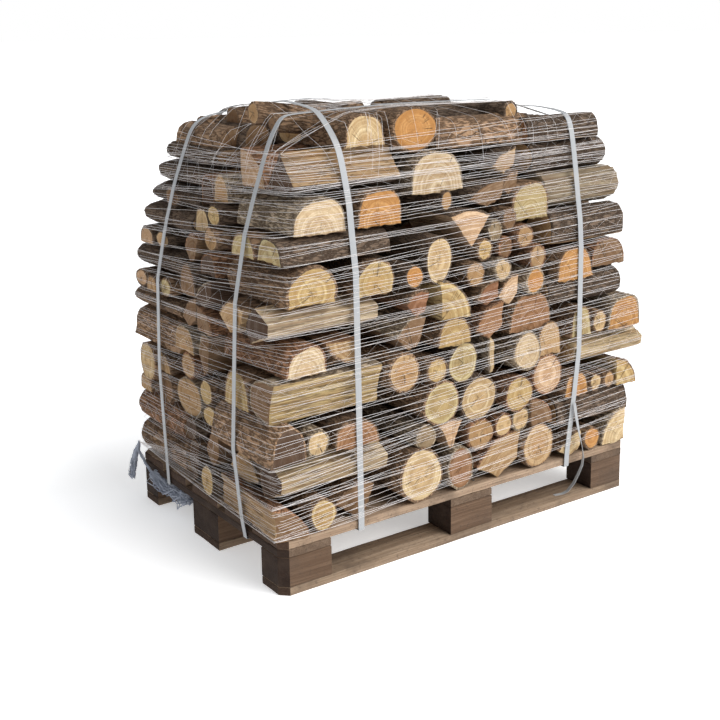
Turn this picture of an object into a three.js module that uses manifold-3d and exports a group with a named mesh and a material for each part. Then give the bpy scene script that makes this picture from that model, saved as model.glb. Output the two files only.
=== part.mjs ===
// Split firewood stacked on a standard timber pallet, wrapped in pallet net and held by four straps.
// Millimetres, +Z up. X runs along the pallet's long side, Y along its short side,
// and the origin is the middle of the pallet's underside.
import * as THREE from 'three';
import Module from 'manifold-3d';
import { mergeVertices } from 'three/addons/utils/BufferGeometryUtils.js';

const wasm = await Module();
wasm.setup();

// ---- Driving dimensions ----
const palletLength = 1200;
const palletWidth = 800;
const boardThickness = 22;
const blockHeight = 78;
const wideBoard = 145;
const narrowBoard = 100;
const cornerCut = 22;
const gap = 0.3;

const logLength = 300;
const deckTop = 3 * boardThickness + blockHeight;
const stackHeight = 1050;
const leanStart = 650;

const netClearance = 1.5;
const netThickness = 2;
const netStrand = 3;
const strapWidth = 19;
const strapThickness = 1.2;

// ---- Materials ----
const colours = {
  pallet_wood: 0x8d7b68,
  split_wood: 0xd2b484,
  bark: 0x6a5648,
  strap: 0xc9cdd0,
  net: 0xe6e6e2,
};
const roughness = { pallet_wood: 0.9, split_wood: 0.8, bark: 0.95, strap: 0.4, net: 0.6 };

const model = new THREE.Group();
model.name = 'firewood_bundle';

function addPart(name, geometry, slot) {
  const material = new THREE.MeshStandardMaterial({
    color: colours[slot], roughness: roughness[slot], metalness: 0, name: slot,
  });
  const mesh = new THREE.Mesh(geometry, material);
  mesh.name = name;
  model.add(mesh);
  return mesh;
}

// ---- Pallet ----
// A board or block whose corners are cut where they meet the pallet's own corners.
function plank(x0, x1, y0, y1, z0, z1) {
  const corners = [[x0, y0, 1, 1], [x1, y0, -1, 1], [x1, y1, -1, -1], [x0, y1, 1, -1]];
  const shape = new THREE.Shape();
  const points = [];
  corners.forEach(([x, y, sx, sy], i) => {
    const atCorner = Math.abs(x) > palletLength / 2 - 1 && Math.abs(y) > palletWidth / 2 - 1;
    if (!atCorner) {
      points.push(new THREE.Vector2(x, y));
      return;
    }
    const along = new THREE.Vector2(x + sx * cornerCut, y);
    const across = new THREE.Vector2(x, y + sy * cornerCut);
    points.push(...(i % 2 === 0 ? [across, along] : [along, across]));
  });
  shape.setFromPoints(points);
  const solid = new THREE.ExtrudeGeometry(shape, { depth: z1 - z0, bevelEnabled: false });
  solid.translate(0, 0, z0);
  return solid;
}

function buildPallet() {
  const halfLength = palletLength / 2;
  const halfWidth = palletWidth / 2;
  const halfGap = gap / 2;
  const blockBase = boardThickness;
  const crossBase = blockBase + blockHeight;
  const deckBase = crossBase + boardThickness;
  const rows = [
    ['front', -halfWidth, -halfWidth + narrowBoard],
    ['middle', -wideBoard / 2, wideBoard / 2],
    ['back', halfWidth - narrowBoard, halfWidth],
  ];
  const columns = [
    ['left', -halfLength, -halfLength + wideBoard],
    ['centre', -wideBoard / 2, wideBoard / 2],
    ['right', halfLength - wideBoard, halfLength],
  ];
  for (const [row, y0, y1] of rows) {
    const bottom = plank(-halfLength, halfLength, y0, y1, 0, blockBase - halfGap);
    addPart(`bottom_board_${row}`, bottom, 'pallet_wood');
    for (const [column, x0, x1] of columns) {
      const block = plank(x0, x1, y0, y1, blockBase + halfGap, crossBase - halfGap);
      addPart(`block_${row}_${column}`, block, 'pallet_wood');
    }
  }
  for (const [column, x0, x1] of columns) {
    const cross = plank(x0, x1, -halfWidth, halfWidth, crossBase + halfGap, deckBase - halfGap);
    addPart(`cross_board_${column}`, cross, 'pallet_wood');
  }
  const deckWidths = [wideBoard, narrowBoard, wideBoard, narrowBoard, wideBoard];
  const used = deckWidths.reduce((sum, width) => sum + width, 0);
  const space = (palletWidth - used) / (deckWidths.length - 1);
  let y = -halfWidth;
  deckWidths.forEach((width, i) => {
    const board = plank(-halfLength, halfLength, y, y + width, deckBase + halfGap, deckTop);
    addPart(`deck_board_${i + 1}`, board, 'pallet_wood');
    y += width + space;
  });
}

// ---- Logs ----
// How far the straps pull the stack in on each side, at height z.
const pull = { left: 150, right: 125, front: 75, back: 110 };
function inset(side, z) {
  const rise = Math.max(0, (z - leanStart) / 500);
  return pull[side] * rise ** 1.6;
}

// A small shift that differs from log to log, so that no two line up exactly.
function wobble(i, size) {
  return size * Math.sin(2.4 * i + 0.7);
}

// The outline of a log's end: middle of the base at (0, 0), full width and height.
function endOutline(cut, width, height, sides = 10) {
  const points = [];
  const arc = (from, to, steps, radiusX, radiusY, cx, cy) => {
    for (let i = 0; i <= steps; i += 1) {
      const angle = from + (to - from) * i / steps;
      points.push(new THREE.Vector2(cx + radiusX * Math.cos(angle), cy + radiusY * Math.sin(angle)));
    }
  };
  const half = width / 2;
  if (cut === 'round') {
    arc(-Math.PI / 2, 1.5 * Math.PI - 2 * Math.PI / sides, sides - 1, half, height / 2, 0, height / 2);
  } else if (cut === 'half') {
    points.push(new THREE.Vector2(-half * 0.96, 0), new THREE.Vector2(half * 0.96, 0));
    arc(0, Math.PI, Math.ceil(sides / 2), half, height * 0.85, 0, height * 0.15);
  } else if (cut === 'quarter') {
    points.push(new THREE.Vector2(-half, 0));
    arc(0, Math.PI / 2, Math.ceil(sides / 3), width, height * 0.92, -half, height * 0.08);
  } else if (cut === 'wedge') {
    points.push(new THREE.Vector2(-half, 0), new THREE.Vector2(half, height * 0.1));
    points.push(new THREE.Vector2(half * 0.75, height * 0.55), new THREE.Vector2(half * 0.1, height));
  } else {
    points.push(new THREE.Vector2(-half * 0.9, 0), new THREE.Vector2(half, height * 0.06));
    points.push(new THREE.Vector2(half * 0.92, height * 0.7), new THREE.Vector2(half * 0.3, height));
    points.push(new THREE.Vector2(-half, height * 0.82));
  }
  return new THREE.Shape(points);
}

// A log lying level. Its end outline faces -Y (lie 'y') or -X (lie 'x') and it runs away from there.
function logSolid(lie, cut, width, height, length = logLength, sides = 10) {
  const outline = endOutline(cut, width, height, sides);
  const solid = new THREE.ExtrudeGeometry(outline, { depth: length, bevelEnabled: false });
  solid.rotateX(Math.PI / 2);
  solid.translate(0, length, 0);
  if (lie === 'x') solid.rotateZ(-Math.PI / 2);
  return solid;
}

function placedLog(lie, x, y, z, cut, width, height, length, sides) {
  const solid = logSolid(lie, cut, width, height, length, sides);
  solid.translate(x, y, z);
  return solid;
}

// The near corner is a crib: courses of logs laid across each other. Every log here is a node.
// A course lists how its logs lie and, for each: place across, width, height, cut, how far its end sticks out.
const cribCourses = [
  ['y', [-570, 96, 86, 'quarter', 2], [-476, 84, 86, 'round', 0], [-362, 120, 84, 'split', -30]],
  ['x', [-346, 104, 108, 'split', -8], [-190, 150, 100, 'wedge', -22]],
  ['y', [-574, 100, 98, 'half', 4], [-486, 70, 70, 'round', -2], [-368, 134, 72, 'half', -4]],
  ['x', [-340, 118, 112, 'half', 6], [-206, 124, 104, 'half', 2]],
  ['y', [-514, 118, 78, 'half', -2], [-400, 96, 66, 'quarter', -14]],
  ['x', [-334, 112, 90, 'round', 10], [-196, 128, 84, 'split', 4]],
  ['y', [-490, 142, 100, 'half', 2], [-306, 118, 92, 'half', 0]],
  ['x', [-326, 112, 64, 'half', 0], [-206, 112, 62, 'half', 4]],
  ['y', [-448, 152, 88, 'half', -2], [-274, 134, 94, 'half', 0]],
  ['x', [-290, 118, 100, 'wedge', 2], [-164, 120, 96, 'quarter', 4]],
];

const cribReach = 316;
const cribEnd = 101;

function buildCornerCrib() {
  let base = deckTop + gap;
  let count = 0;
  for (const [lie, ...logs] of cribCourses) {
    let top = base;
    for (const [across, width, height, cut, out] of logs) {
      const middle = base + height / 2;
      const alongX = -palletLength / 2 + inset('left', middle) - out;
      const alongY = -palletWidth / 2 + inset('front', middle) - out;
      const length = lie === 'x' ? cribReach : -cribEnd - alongY;
      const solid = logSolid(lie, cut, width, height, length);
      count += 1;
      const log = addPart(`crib_log_${String(count).padStart(2, '0')}`, solid, 'split_wood');
      log.position.set(lie === 'y' ? across : alongX, lie === 'y' ? alongY : across, base);
      top = Math.max(top, base + height);
    }
    base = top + gap;
  }
  return base;
}

// ---- Solids joined from many log ends ----
function asManifold(geometry) {
  const plain = geometry.clone();
  plain.deleteAttribute('normal');
  plain.deleteAttribute('uv');
  const welded = mergeVertices(plain, 1e-3);
  const vertProperties = new Float32Array(welded.attributes.position.array);
  const triVerts = new Uint32Array(welded.index.array);
  return new wasm.Manifold(new wasm.Mesh({ numProp: 3, vertProperties, triVerts }));
}

function asGeometry(solid) {
  const mesh = solid.simplify(0.05).getMesh();
  const geometry = new THREE.BufferGeometry();
  geometry.setAttribute('position', new THREE.BufferAttribute(new Float32Array(mesh.vertProperties), 3));
  geometry.setIndex(new THREE.BufferAttribute(new Uint32Array(mesh.triVerts), 1));
  geometry.computeVertexNormals();
  return geometry;
}

function joined(geometries) {
  return asGeometry(wasm.Manifold.union(geometries.map(asManifold)));
}

function joinedWithin(geometries, region) {
  return asGeometry(wasm.Manifold.union(geometries.map(asManifold)).intersect(asManifold(region)));
}

// A block whose top is drawn in on all four sides, following the pull of the straps.
function taperedBlock(x0, x1, y0, y1, z0, z1, inX0, inX1, inY0, inY1) {
  const solid = new THREE.BoxGeometry(1, 1, 1);
  const place = solid.attributes.position;
  for (let i = 0; i < place.count; i += 1) {
    const top = place.getZ(i) > 0 ? 1 : 0;
    const x = place.getX(i) < 0 ? x0 + inX0 * top : x1 - inX1 * top;
    const y = place.getY(i) < 0 ? y0 + inY0 * top : y1 - inY1 * top;
    place.setXYZ(i, x, y, top ? z1 : z0);
  }
  return solid;
}

// Each entry: middle of the end across the face, base, width, height, cut.
const frontEnds = [
  [-176, 145, 132, 138, 'round'], [-40, 146, 84, 114, 'round'], [100, 146, 146, 114, 'split'],
  [234, 146, 108, 120, 'round'], [-155, 284, 64, 66, 'round'], [-72, 262, 74, 82, 'split'],
  [24, 246, 88, 82, 'round'], [113, 262, 60, 62, 'round'], [176, 262, 64, 66, 'round'],
  [248, 270, 74, 76, 'quarter'], [-104, 342, 112, 112, 'round'], [24, 328, 118, 116, 'round'],
  [166, 326, 94, 94, 'round'], [270, 352, 104, 108, 'round'], [-222, 452, 92, 100, 'round'],
  [-122, 458, 66, 68, 'round'], [-36, 444, 94, 104, 'round'], [70, 448, 20, 100, 'split'],
  [190, 436, 96, 106, 'round'], [274, 464, 84, 92, 'half'], [-196, 560, 84, 84, 'split'],
  [-66, 550, 104, 72, 'half'], [60, 552, 90, 88, 'split'], [210, 546, 140, 96, 'half'],
  [-62, 622, 96, 100, 'quarter'], [55, 640, 70, 60, 'split'], [127, 630, 66, 74, 'split'],
  [216, 648, 64, 70, 'round'], [-178, 646, 66, 64, 'split'], [14, 694, 62, 62, 'round'],
  [106, 698, 58, 60, 'round'], [240, 706, 60, 72, 'round'], [-192, 716, 56, 58, 'round'],
  [-112, 720, 84, 116, 'round'], [50, 756, 54, 58, 'round'], [131, 754, 48, 58, 'round'],
  [204, 776, 62, 60, 'round'], [0, 800, 128, 94, 'quarter'], [104, 804, 52, 56, 'round'],
  [154, 830, 48, 54, 'round'], [250, 850, 120, 94, 'half'], [-70, 898, 42, 50, 'round'],
  [76, 898, 130, 66, 'split'], [180, 922, 70, 60, 'split'], [-96, 946, 150, 94, 'half'],
  [170, 980, 92, 60, 'split'],
];
const leftEnds = [
  [-34, 145, 70, 88, 'round'], [48, 160, 62, 120, 'split'], [-52, 232, 74, 112, 'split'],
  [44, 280, 60, 62, 'round'], [-52, 345, 72, 56, 'round'], [64, 345, 130, 100, 'half'],
  [-50, 402, 68, 70, 'round'], [60, 446, 80, 74, 'round'], [-30, 474, 60, 116, 'split'],
  [66, 522, 110, 70, 'half'], [-46, 592, 84, 70, 'quarter'], [44, 592, 84, 84, 'split'],
  [-48, 664, 88, 76, 'split'], [52, 678, 90, 84, 'half'], [-44, 742, 90, 60, 'half'],
  [52, 764, 76, 78, 'split'], [-50, 804, 76, 62, 'round'], [40, 844, 92, 66, 'half'],
  [-46, 866, 80, 58, 'round'], [-42, 926, 92, 74, 'half'], [52, 912, 84, 80, 'half'],
];

// The rest of the stack is hidden or far away, so its ends repeat in courses of these heights.
const fillHeights = [92, 84, 100, 78, 96, 88, 74, 94, 82, 90];
const fillCuts = ['half', 'round', 'quarter', 'split'];

const fillSides = 6;

function filledFace(first, last, logsAcross) {
  const ends = [];
  let base = deckTop + 1;
  fillHeights.forEach((height, row) => {
    const count = logsAcross + (row % 2);
    const pitch = (last - first) / count;
    for (let i = 0; i < count; i += 1) {
      const width = pitch * (0.84 + 0.12 * ((i + row) % 2));
      const cut = fillCuts[(i * 3 + row) % fillCuts.length];
      ends.push([first + (i + 0.5) * pitch, base, width, height * (0.9 + 0.08 * ((i + row) % 2)), cut]);
    }
    base += height;
  });
  return ends;
}

function stackFromEnds(side, ends, block, region, sides = 7) {
  const sign = side === 'front' || side === 'left' ? -1 : 1;
  const lie = side === 'front' || side === 'back' ? 'y' : 'x';
  const edge = lie === 'y' ? palletWidth / 2 : palletLength / 2;
  const reach = 140;
  const solids = [block];
  ends.forEach(([across, base, width, height, cut], i) => {
    const out = 6 - 5 * (i % 3) + wobble(i, 0.8);
    const face = edge - inset(side, base + height / 2) + out;
    const from = sign < 0 ? -face : face - reach;
    const squeeze = 1 - 0.3 * Math.max(0, (base - leanStart) / 500);
    const middle = across * squeeze + wobble(i, 1.3);
    const place = lie === 'y' ? [middle, from] : [from, middle];
    const low = base + 1 + wobble(i + 0.5, 0.9);
    solids.push(placedLog(lie, ...place, low, cut, width * squeeze, height, reach, sides));
  });
  return joinedWithin(solids, region);
}

function buildMiddles() {
  const low = deckTop + gap;
  const top = stackHeight;
  const core = 98;
  const far = 700;
  const frontBlock = taperedBlock(-240, 296, -362, -core, low, top, 60, 72, 50, 0);
  const frontRegion = taperedBlock(-282, 299, -far, -core, low, top, 97, 72, 0, 0);
  addPart('front_middle_stack', stackFromEnds('front', frontEnds, frontBlock, frontRegion), 'split_wood');
  const backBlock = taperedBlock(-296, 296, core, 362, low, top, 72, 72, 0, 74);
  const backRegion = taperedBlock(-299, 299, core, far, low, top, 72, 72, 0, 0);
  const backEnds = filledFace(-285, 285, 4);
  const backStack = stackFromEnds('back', backEnds, backBlock, backRegion, fillSides);
  addPart('back_middle_stack', backStack, 'split_wood');
  const leftBlock = taperedBlock(-562, -gap, -94, 94, low, top, 92, 0, 0, 0);
  const leftRegion = taperedBlock(-far, -gap, -core + 1, core - 1, low, top, 0, 0, 0, 0);
  addPart('left_middle_stack', stackFromEnds('left', leftEnds, leftBlock, leftRegion), 'split_wood');
  const rightBlock = taperedBlock(gap, 562, -94, 94, low, top, 0, 110, 0, 0);
  const rightRegion = taperedBlock(gap, far, -core + 1, core - 1, low, top, 0, 0, 0, 0);
  const rightEnds = filledFace(-94, 94, 2);
  const rightStack = stackFromEnds('right', rightEnds, rightBlock, rightRegion, fillSides);
  addPart('right_middle_stack', rightStack, 'split_wood');
}

// The other three corners are cribs like the near one, each one solid that reaches its logs' tips.
// Entries: how the log lies, place across, base, width, height, cut, how far its end sticks out.
const rightCribLogs = [
  ['y', 366, 145, 90, 72, 'split', 0], ['y', 452, 145, 68, 70, 'round', 2], ['y', 545, 145, 96, 104, 'quarter', 0],
  ['x', -346, 240, 104, 86, 'half', -2],
  ['y', 384, 322, 92, 70, 'half', 4], ['y', 464, 322, 46, 50, 'round', 0], ['y', 518, 322, 42, 48, 'round', 0],
  ['y', 590, 318, 86, 84, 'quarter', 2],
  ['x', -350, 400, 104, 94, 'split', 52],
  ['y', 402, 494, 80, 90, 'half', 0], ['y', 474, 494, 54, 66, 'round', 0], ['y', 570, 490, 132, 100, 'half', 2],
  ['x', -344, 588, 110, 92, 'round', -44],
  ['y', 370, 662, 138, 96, 'half', 4], ['y', 502, 688, 130, 76, 'half', 2],
  ['x', -336, 768, 116, 92, 'half', -12],
  ['x', -320, 884, 118, 86, 'half', -2],
  ['x', -300, 966, 110, 84, 'round', 0],
];

function cornerCrib(signX, signY, logs, sides = 7) {
  const sideX = signX < 0 ? 'left' : 'right';
  const sideY = signY < 0 ? 'front' : 'back';
  const inner = 302;
  const across = 100;
  const far = 700;
  const drawnIn = 72;
  const low = deckTop + gap;
  const boundX = (outer) => (signX < 0 ? [-outer, -inner] : [inner, outer]);
  const boundY = (outer) => (signY < 0 ? [-outer, -across] : [across, outer]);
  const columnIn = signX < 0 ? [92, -drawnIn] : [-drawnIn, 110];
  const regionIn = signX < 0 ? [0, -drawnIn] : [-drawnIn, 0];
  const columnDeep = signY < 0 ? [50, 0] : [0, 74];
  const column = taperedBlock(...boundX(562), ...boundY(362), low, stackHeight, ...columnIn, ...columnDeep);
  const region = taperedBlock(...boundX(far), ...boundY(far), low, stackHeight, ...regionIn, 0, 0);
  const solids = [column];
  logs.forEach(([lie, middleAcross, base, width, height, cut, out], i) => {
    const middle = base + height / 2;
    const length = lie === 'x' ? 280 : 270;
    const faceX = palletLength / 2 - inset(sideX, middle) + out + wobble(i, 0.9);
    const faceY = palletWidth / 2 - inset(sideY, middle) + out + wobble(i, 0.9);
    const endX = signX < 0 ? -faceX : faceX - length;
    const endY = signY < 0 ? -faceY : faceY - length;
    const place = lie === 'y' ? [middleAcross + wobble(i, 1.1), endY] : [endX, middleAcross + wobble(i, 1.1)];
    solids.push(placedLog(lie, ...place, base + 1 + wobble(i, 0.8), cut, width, height, length, sides));
  });
  return joinedWithin(solids, region);
}

function filledCrib(signX, signY) {
  const logs = [];
  let base = deckTop + 1;
  fillHeights.forEach((height, row) => {
    const lie = row % 2 === 0 ? 'y' : 'x';
    const outer = lie === 'y' ? palletLength / 2 : palletWidth / 2;
    const inner = lie === 'y' ? 318 : 128;
    const side = lie === 'y' ? (signX < 0 ? 'left' : 'right') : 'back';
    const edge = outer - inset(side, base + height / 2) - 4;
    const low = inner - inset(side, base + height / 2) * 0.6;
    const middle = (edge + low) / 2;
    const sign = lie === 'y' ? signX : signY;
    const width = (edge - low) / 2 - 6;
    [0, 1].forEach((i) => {
      const across = sign * (i === 0 ? (edge + middle) / 2 : (low + middle) / 2);
      logs.push([lie, across, base, width, height, fillCuts[(row + 2 * i) % 4], 3 - 4 * ((row + i) % 3)]);
    });
    base += height - 1;
  });
  return logs;
}

function buildOtherCribs() {
  addPart('front_right_crib', cornerCrib(1, -1, rightCribLogs), 'split_wood');
  addPart('back_left_crib', cornerCrib(-1, 1, filledCrib(-1, 1), fillSides), 'split_wood');
  addPart('back_right_crib', cornerCrib(1, 1, filledCrib(1, 1), fillSides), 'split_wood');
}

// ---- Loose logs on top ----
function buildTop() {
  const top = stackHeight + gap;
  const right = taperedBlock(-56, 360, -290, 270, top, 1104, 30, 90, 60, 60);
  const left = taperedBlock(-420, -40, -16, 270, top, 1112, 90, 0, 20, 60);
  const heap = [
    right, left,
    placedLog('x', -62, -276, top, 'half', 104, 74, 330, 9), placedLog('x', 10, -176, 1066, 'half', 120, 70, 300, 9),
    placedLog('x', -50, 40, 1070, 'round', 96, 84, 310, 9), placedLog('x', 60, 150, 1060, 'half', 110, 82, 290, 9),
    placedLog('y', -222, 0, 1080, 'half', 110, 72, 240, 9), placedLog('y', -120, -10, 1074, 'round', 92, 88, 250, 9),
    placedLog('x', 60, -60, 1066, 'half', 100, 70, 300, 9), placedLog('x', 236, -308, 1052, 'half', 84, 62, 262, 9),
    placedLog('y', -452, 60, 1053, 'half', 90, 56, 250, 9), placedLog('x', -448, 250, 1080, 'round', 84, 60, 250, 9),
  ];
  addPart('top_layer', joined(heap), 'bark');
  // Entries: name, how it lies, x, y, base, cut, width, height, length, turn about the vertical in degrees.
  const loose = [
    ['top_log_1', 'y', -286, -330, 1077.6, 'half', 116, 74, 204, 0],
    ['top_log_2', 'y', -134, -334, top, 'round', 124, 116, 290, 0],
    ['top_log_3', 'y', 214, -300, 1138, 'round', 50, 50, 280, 14],
    ['top_log_4', 'x', -462, -93, 1104, 'round', 60, 60, 258, 0],
  ];
  for (const [name, lie, x, y, z, cut, width, height, length, turn] of loose) {
    const log = addPart(name, logSolid(lie, cut, width, height, length), 'bark');
    log.position.set(x, y, z);
    log.rotation.z = THREE.MathUtils.degToRad(turn);
  }
}

// ---- Taut loops ----
// Every corner of the given parts between two heights of one axis, seen along that axis.
function pointsBetween(parts, axis, low, high) {
  const found = [];
  const [first, second] = ['x', 'y', 'z'].filter((name) => name !== axis);
  const keep = (point) => found.push([point[first], point[second]]);
  for (const part of parts) {
    part.updateMatrixWorld(true);
    const geometry = part.geometry.index ? part.geometry.toNonIndexed() : part.geometry;
    const place = geometry.attributes.position;
    const corner = (i) => new THREE.Vector3().fromBufferAttribute(place, i).applyMatrix4(part.matrixWorld);
    for (let i = 0; i < place.count; i += 3) {
      const triangle = [corner(i), corner(i + 1), corner(i + 2)];
      triangle.forEach((from, k) => {
        const to = triangle[(k + 1) % 3];
        if (from[axis] >= low && from[axis] <= high) keep(from);
        for (const level of [low, high]) {
          const share = (level - from[axis]) / (to[axis] - from[axis]);
          if (share > 0 && share < 1) keep(from.clone().lerp(to, share));
        }
      });
    }
  }
  return found;
}

function hullOf(points) {
  const sorted = [...points].sort((a, b) => a[0] - b[0] || a[1] - b[1]);
  const turn = (o, a, b) => (a[0] - o[0]) * (b[1] - o[1]) - (a[1] - o[1]) * (b[0] - o[0]);
  const half = (list) => {
    const chain = [];
    for (const point of list) {
      while (chain.length > 1 && turn(chain[chain.length - 2], chain[chain.length - 1], point) <= 0) chain.pop();
      chain.push(point);
    }
    chain.pop();
    return chain;
  };
  return [...half(sorted), ...half(sorted.reverse())];
}

// Drops hull points that leave the outline within the tolerance.
function thinned(hull, tolerance) {
  const kept = [...hull];
  for (let i = 0; kept.length > 8 && i < kept.length;) {
    const before = kept[(i + kept.length - 1) % kept.length];
    const after = kept[(i + 1) % kept.length];
    const length = Math.hypot(after[0] - before[0], after[1] - before[1]);
    const area = (after[0] - before[0]) * (kept[i][1] - before[1]) - (after[1] - before[1]) * (kept[i][0] - before[0]);
    if (Math.abs(area) / length < tolerance) kept.splice(i, 1);
    else i += 1;
  }
  return kept;
}

// The outline moved outwards by a distance, corner by corner.
function movedOut(hull, distance) {
  return hull.map((point, i) => {
    const before = hull[(i + hull.length - 1) % hull.length];
    const after = hull[(i + 1) % hull.length];
    const normal = (a, b) => {
      const length = Math.hypot(b[0] - a[0], b[1] - a[1]);
      return [(b[1] - a[1]) / length, (a[0] - b[0]) / length];
    };
    const [nx, ny] = normal(before, point);
    const [mx, my] = normal(point, after);
    const scale = distance / (1 + nx * mx + ny * my);
    return [point[0] + (nx + mx) * scale, point[1] + (ny + my) * scale];
  });
}

function tautOutline(parts, axis, low, high, clearance) {
  const rounded = pointsBetween(parts, axis, low, high).flatMap(([u, v]) => (
    [0, 1, 2, 3, 4, 5].map((i) => [u + 4 * Math.cos(i * Math.PI / 3), v + 4 * Math.sin(i * Math.PI / 3)])
  ));
  return movedOut(thinned(hullOf(rounded), 0.7), clearance + 0.7 - 3.4);
}

// ---- Net ----
// A coarse lattice stands for the fine net: level loops round the stack and upright strands between them.
const netLevels = [158, 262, 366, 470, 574, 678, 782, 886, 990];
const netSides = 8;

// The smallest outline with a fixed number of sides that clears the points.
function sidedOutline(points, sides, clearance) {
  const lines = Array.from({ length: sides }, (_, i) => {
    const angle = 2 * Math.PI * i / sides;
    const normal = [Math.cos(angle), Math.sin(angle)];
    return [...normal, Math.max(...points.map(([x, y]) => x * normal[0] + y * normal[1])) + clearance];
  });
  return lines.map(([a, b, c], i) => {
    const [d, e, f] = lines[(i + 1) % sides];
    const scale = a * e - b * d;
    return [(c * e - b * f) / scale, (a * f - c * d) / scale];
  });
}

function buildNet(wrapped) {
  const pieces = [];
  const outlines = netLevels.map((level, i) => {
    const low = i === 0 ? level - 8 : netLevels[i - 1];
    const high = i === netLevels.length - 1 ? level + 8 : netLevels[i + 1];
    const points = pointsBetween(wrapped, 'z', low, high);
    const inner = sidedOutline(points, netSides, netClearance);
    const outer = sidedOutline(points, netSides, netClearance + netThickness);
    const shape = new THREE.Shape(outer.map(([x, y]) => new THREE.Vector2(x, y)));
    shape.holes.push(new THREE.Path(inner.map(([x, y]) => new THREE.Vector2(x, y))));
    const loop = new THREE.ExtrudeGeometry(shape, { depth: netStrand, bevelEnabled: false });
    loop.translate(0, 0, level - netStrand / 2);
    pieces.push(asManifold(loop));
    return sidedOutline(points, netSides, netClearance + netThickness / 2);
  });
  for (let k = 1; k < netSides; k += 2) {
    const knots = outlines.map((outline, i) => {
      const [ax, ay] = outline[k];
      const [bx, by] = outline[(k + 1) % netSides];
      const knot = new THREE.BoxGeometry(netStrand, netStrand, netStrand - 0.4);
      knot.translate((ax + bx) / 2, (ay + by) / 2, netLevels[i]);
      return asManifold(knot);
    });
    for (let i = 1; i < knots.length; i += 1) pieces.push(wasm.Manifold.hull([knots[i - 1], knots[i]]));
  }
  return addPart('net', asGeometry(wasm.Manifold.union(pieces)), 'net');
}

// The net's end, gathered at the back left corner: one rope round the deck, one end hanging free.
function ropeChain(points) {
  const balls = points.map(([x, y, z, radius]) => {
    const ball = new THREE.SphereGeometry(radius, 6, 4);
    ball.translate(x, y, z);
    return asManifold(ball);
  });
  const links = balls.slice(1).map((ball, i) => wasm.Manifold.hull([balls[i], ball]));
  return wasm.Manifold.union(links);
}

function buildNetTail() {
  const gathered = ropeChain([
    [-606, 412, 168, 5], [-612, 396, 148, 8], [-612, 340, 118, 8], [-610, 290, 90, 8],
    [-588, 272, 78, 18], [-588, 230, 74, 19], [-590, 196, 84, 12],
  ]);
  const hanging = ropeChain([[-606, 412, 168, 5], [-612, 426, 138, 7], [-616, 440, 104, 9], [-617, 442, 88, 7]]);
  addPart('net_tail', asGeometry(gathered.add(hanging)), 'net');
}

// ---- Straps ----
// Long straight stretches get points in between, so that a band can bend sideways there.
function withPointsBetween(outline, spacing) {
  return outline.flatMap((from, i) => {
    const to = outline[(i + 1) % outline.length];
    const count = Math.max(1, Math.round(Math.hypot(to[0] - from[0], to[1] - from[1]) / spacing));
    return Array.from({ length: count }, (_, k) => [0, 1].map((c) => from[c] + (to[c] - from[c]) * k / count));
  });
}

// A flat band round an outline: four corners a point, its middle placed along the axis by a function.
function bandLoop(outline, axis, middleAt) {
  const inner = outline;
  const outer = movedOut(outline, strapThickness);
  const positions = [];
  const place = (point, along) => {
    if (axis === 'x') positions.push(along, point[0], point[1]);
    else positions.push(point[0], along, point[1]);
  };
  outline.forEach((point, i) => {
    const middle = middleAt(point[0], point[1]);
    place(inner[i], middle - strapWidth / 2);
    place(inner[i], middle + strapWidth / 2);
    place(outer[i], middle + strapWidth / 2);
    place(outer[i], middle - strapWidth / 2);
  });
  const index = [];
  const count = outline.length;
  for (let i = 0; i < count; i += 1) {
    for (let k = 0; k < 4; k += 1) {
      const a = 4 * i + k;
      const b = 4 * i + (k + 1) % 4;
      const c = 4 * ((i + 1) % count) + (k + 1) % 4;
      const d = 4 * ((i + 1) % count) + k;
      if (axis === 'x') index.push(a, b, c, a, c, d);
      else index.push(a, c, b, a, d, c);
    }
  }
  const band = new THREE.BufferGeometry();
  band.setAttribute('position', new THREE.Float32BufferAttribute(positions, 3));
  band.setIndex(index);
  band.computeVertexNormals();
  return band;
}

// The loose end of a strap: a flat band through points with a turn in degrees about the vertical.
const looseEndPoints = [
  [367, -412.9, 306, 0], [374, -415, 262, 6], [384, -418, 214, 30], [393, -421, 176, 52], [399, -421, 142, 66],
  [401, -415, 114, 74],
  [398, -404, 84, 78], [390, -394, 54, 80], [376, -384, 30, 84], [362, -378, 23.4, 88], [336, -372, 23.2, 88],
];

function looseEnd() {
  const tips = looseEndPoints.map(([x, y, z, turn]) => {
    const tip = new THREE.BoxGeometry(strapWidth - 2, strapThickness, strapThickness);
    tip.rotateZ(THREE.MathUtils.degToRad(turn));
    tip.translate(x, y, z);
    return asManifold(tip);
  });
  return wasm.Manifold.union(tips.slice(1).map((tip, i) => wasm.Manifold.hull([tips[i], tip])));
}

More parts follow.
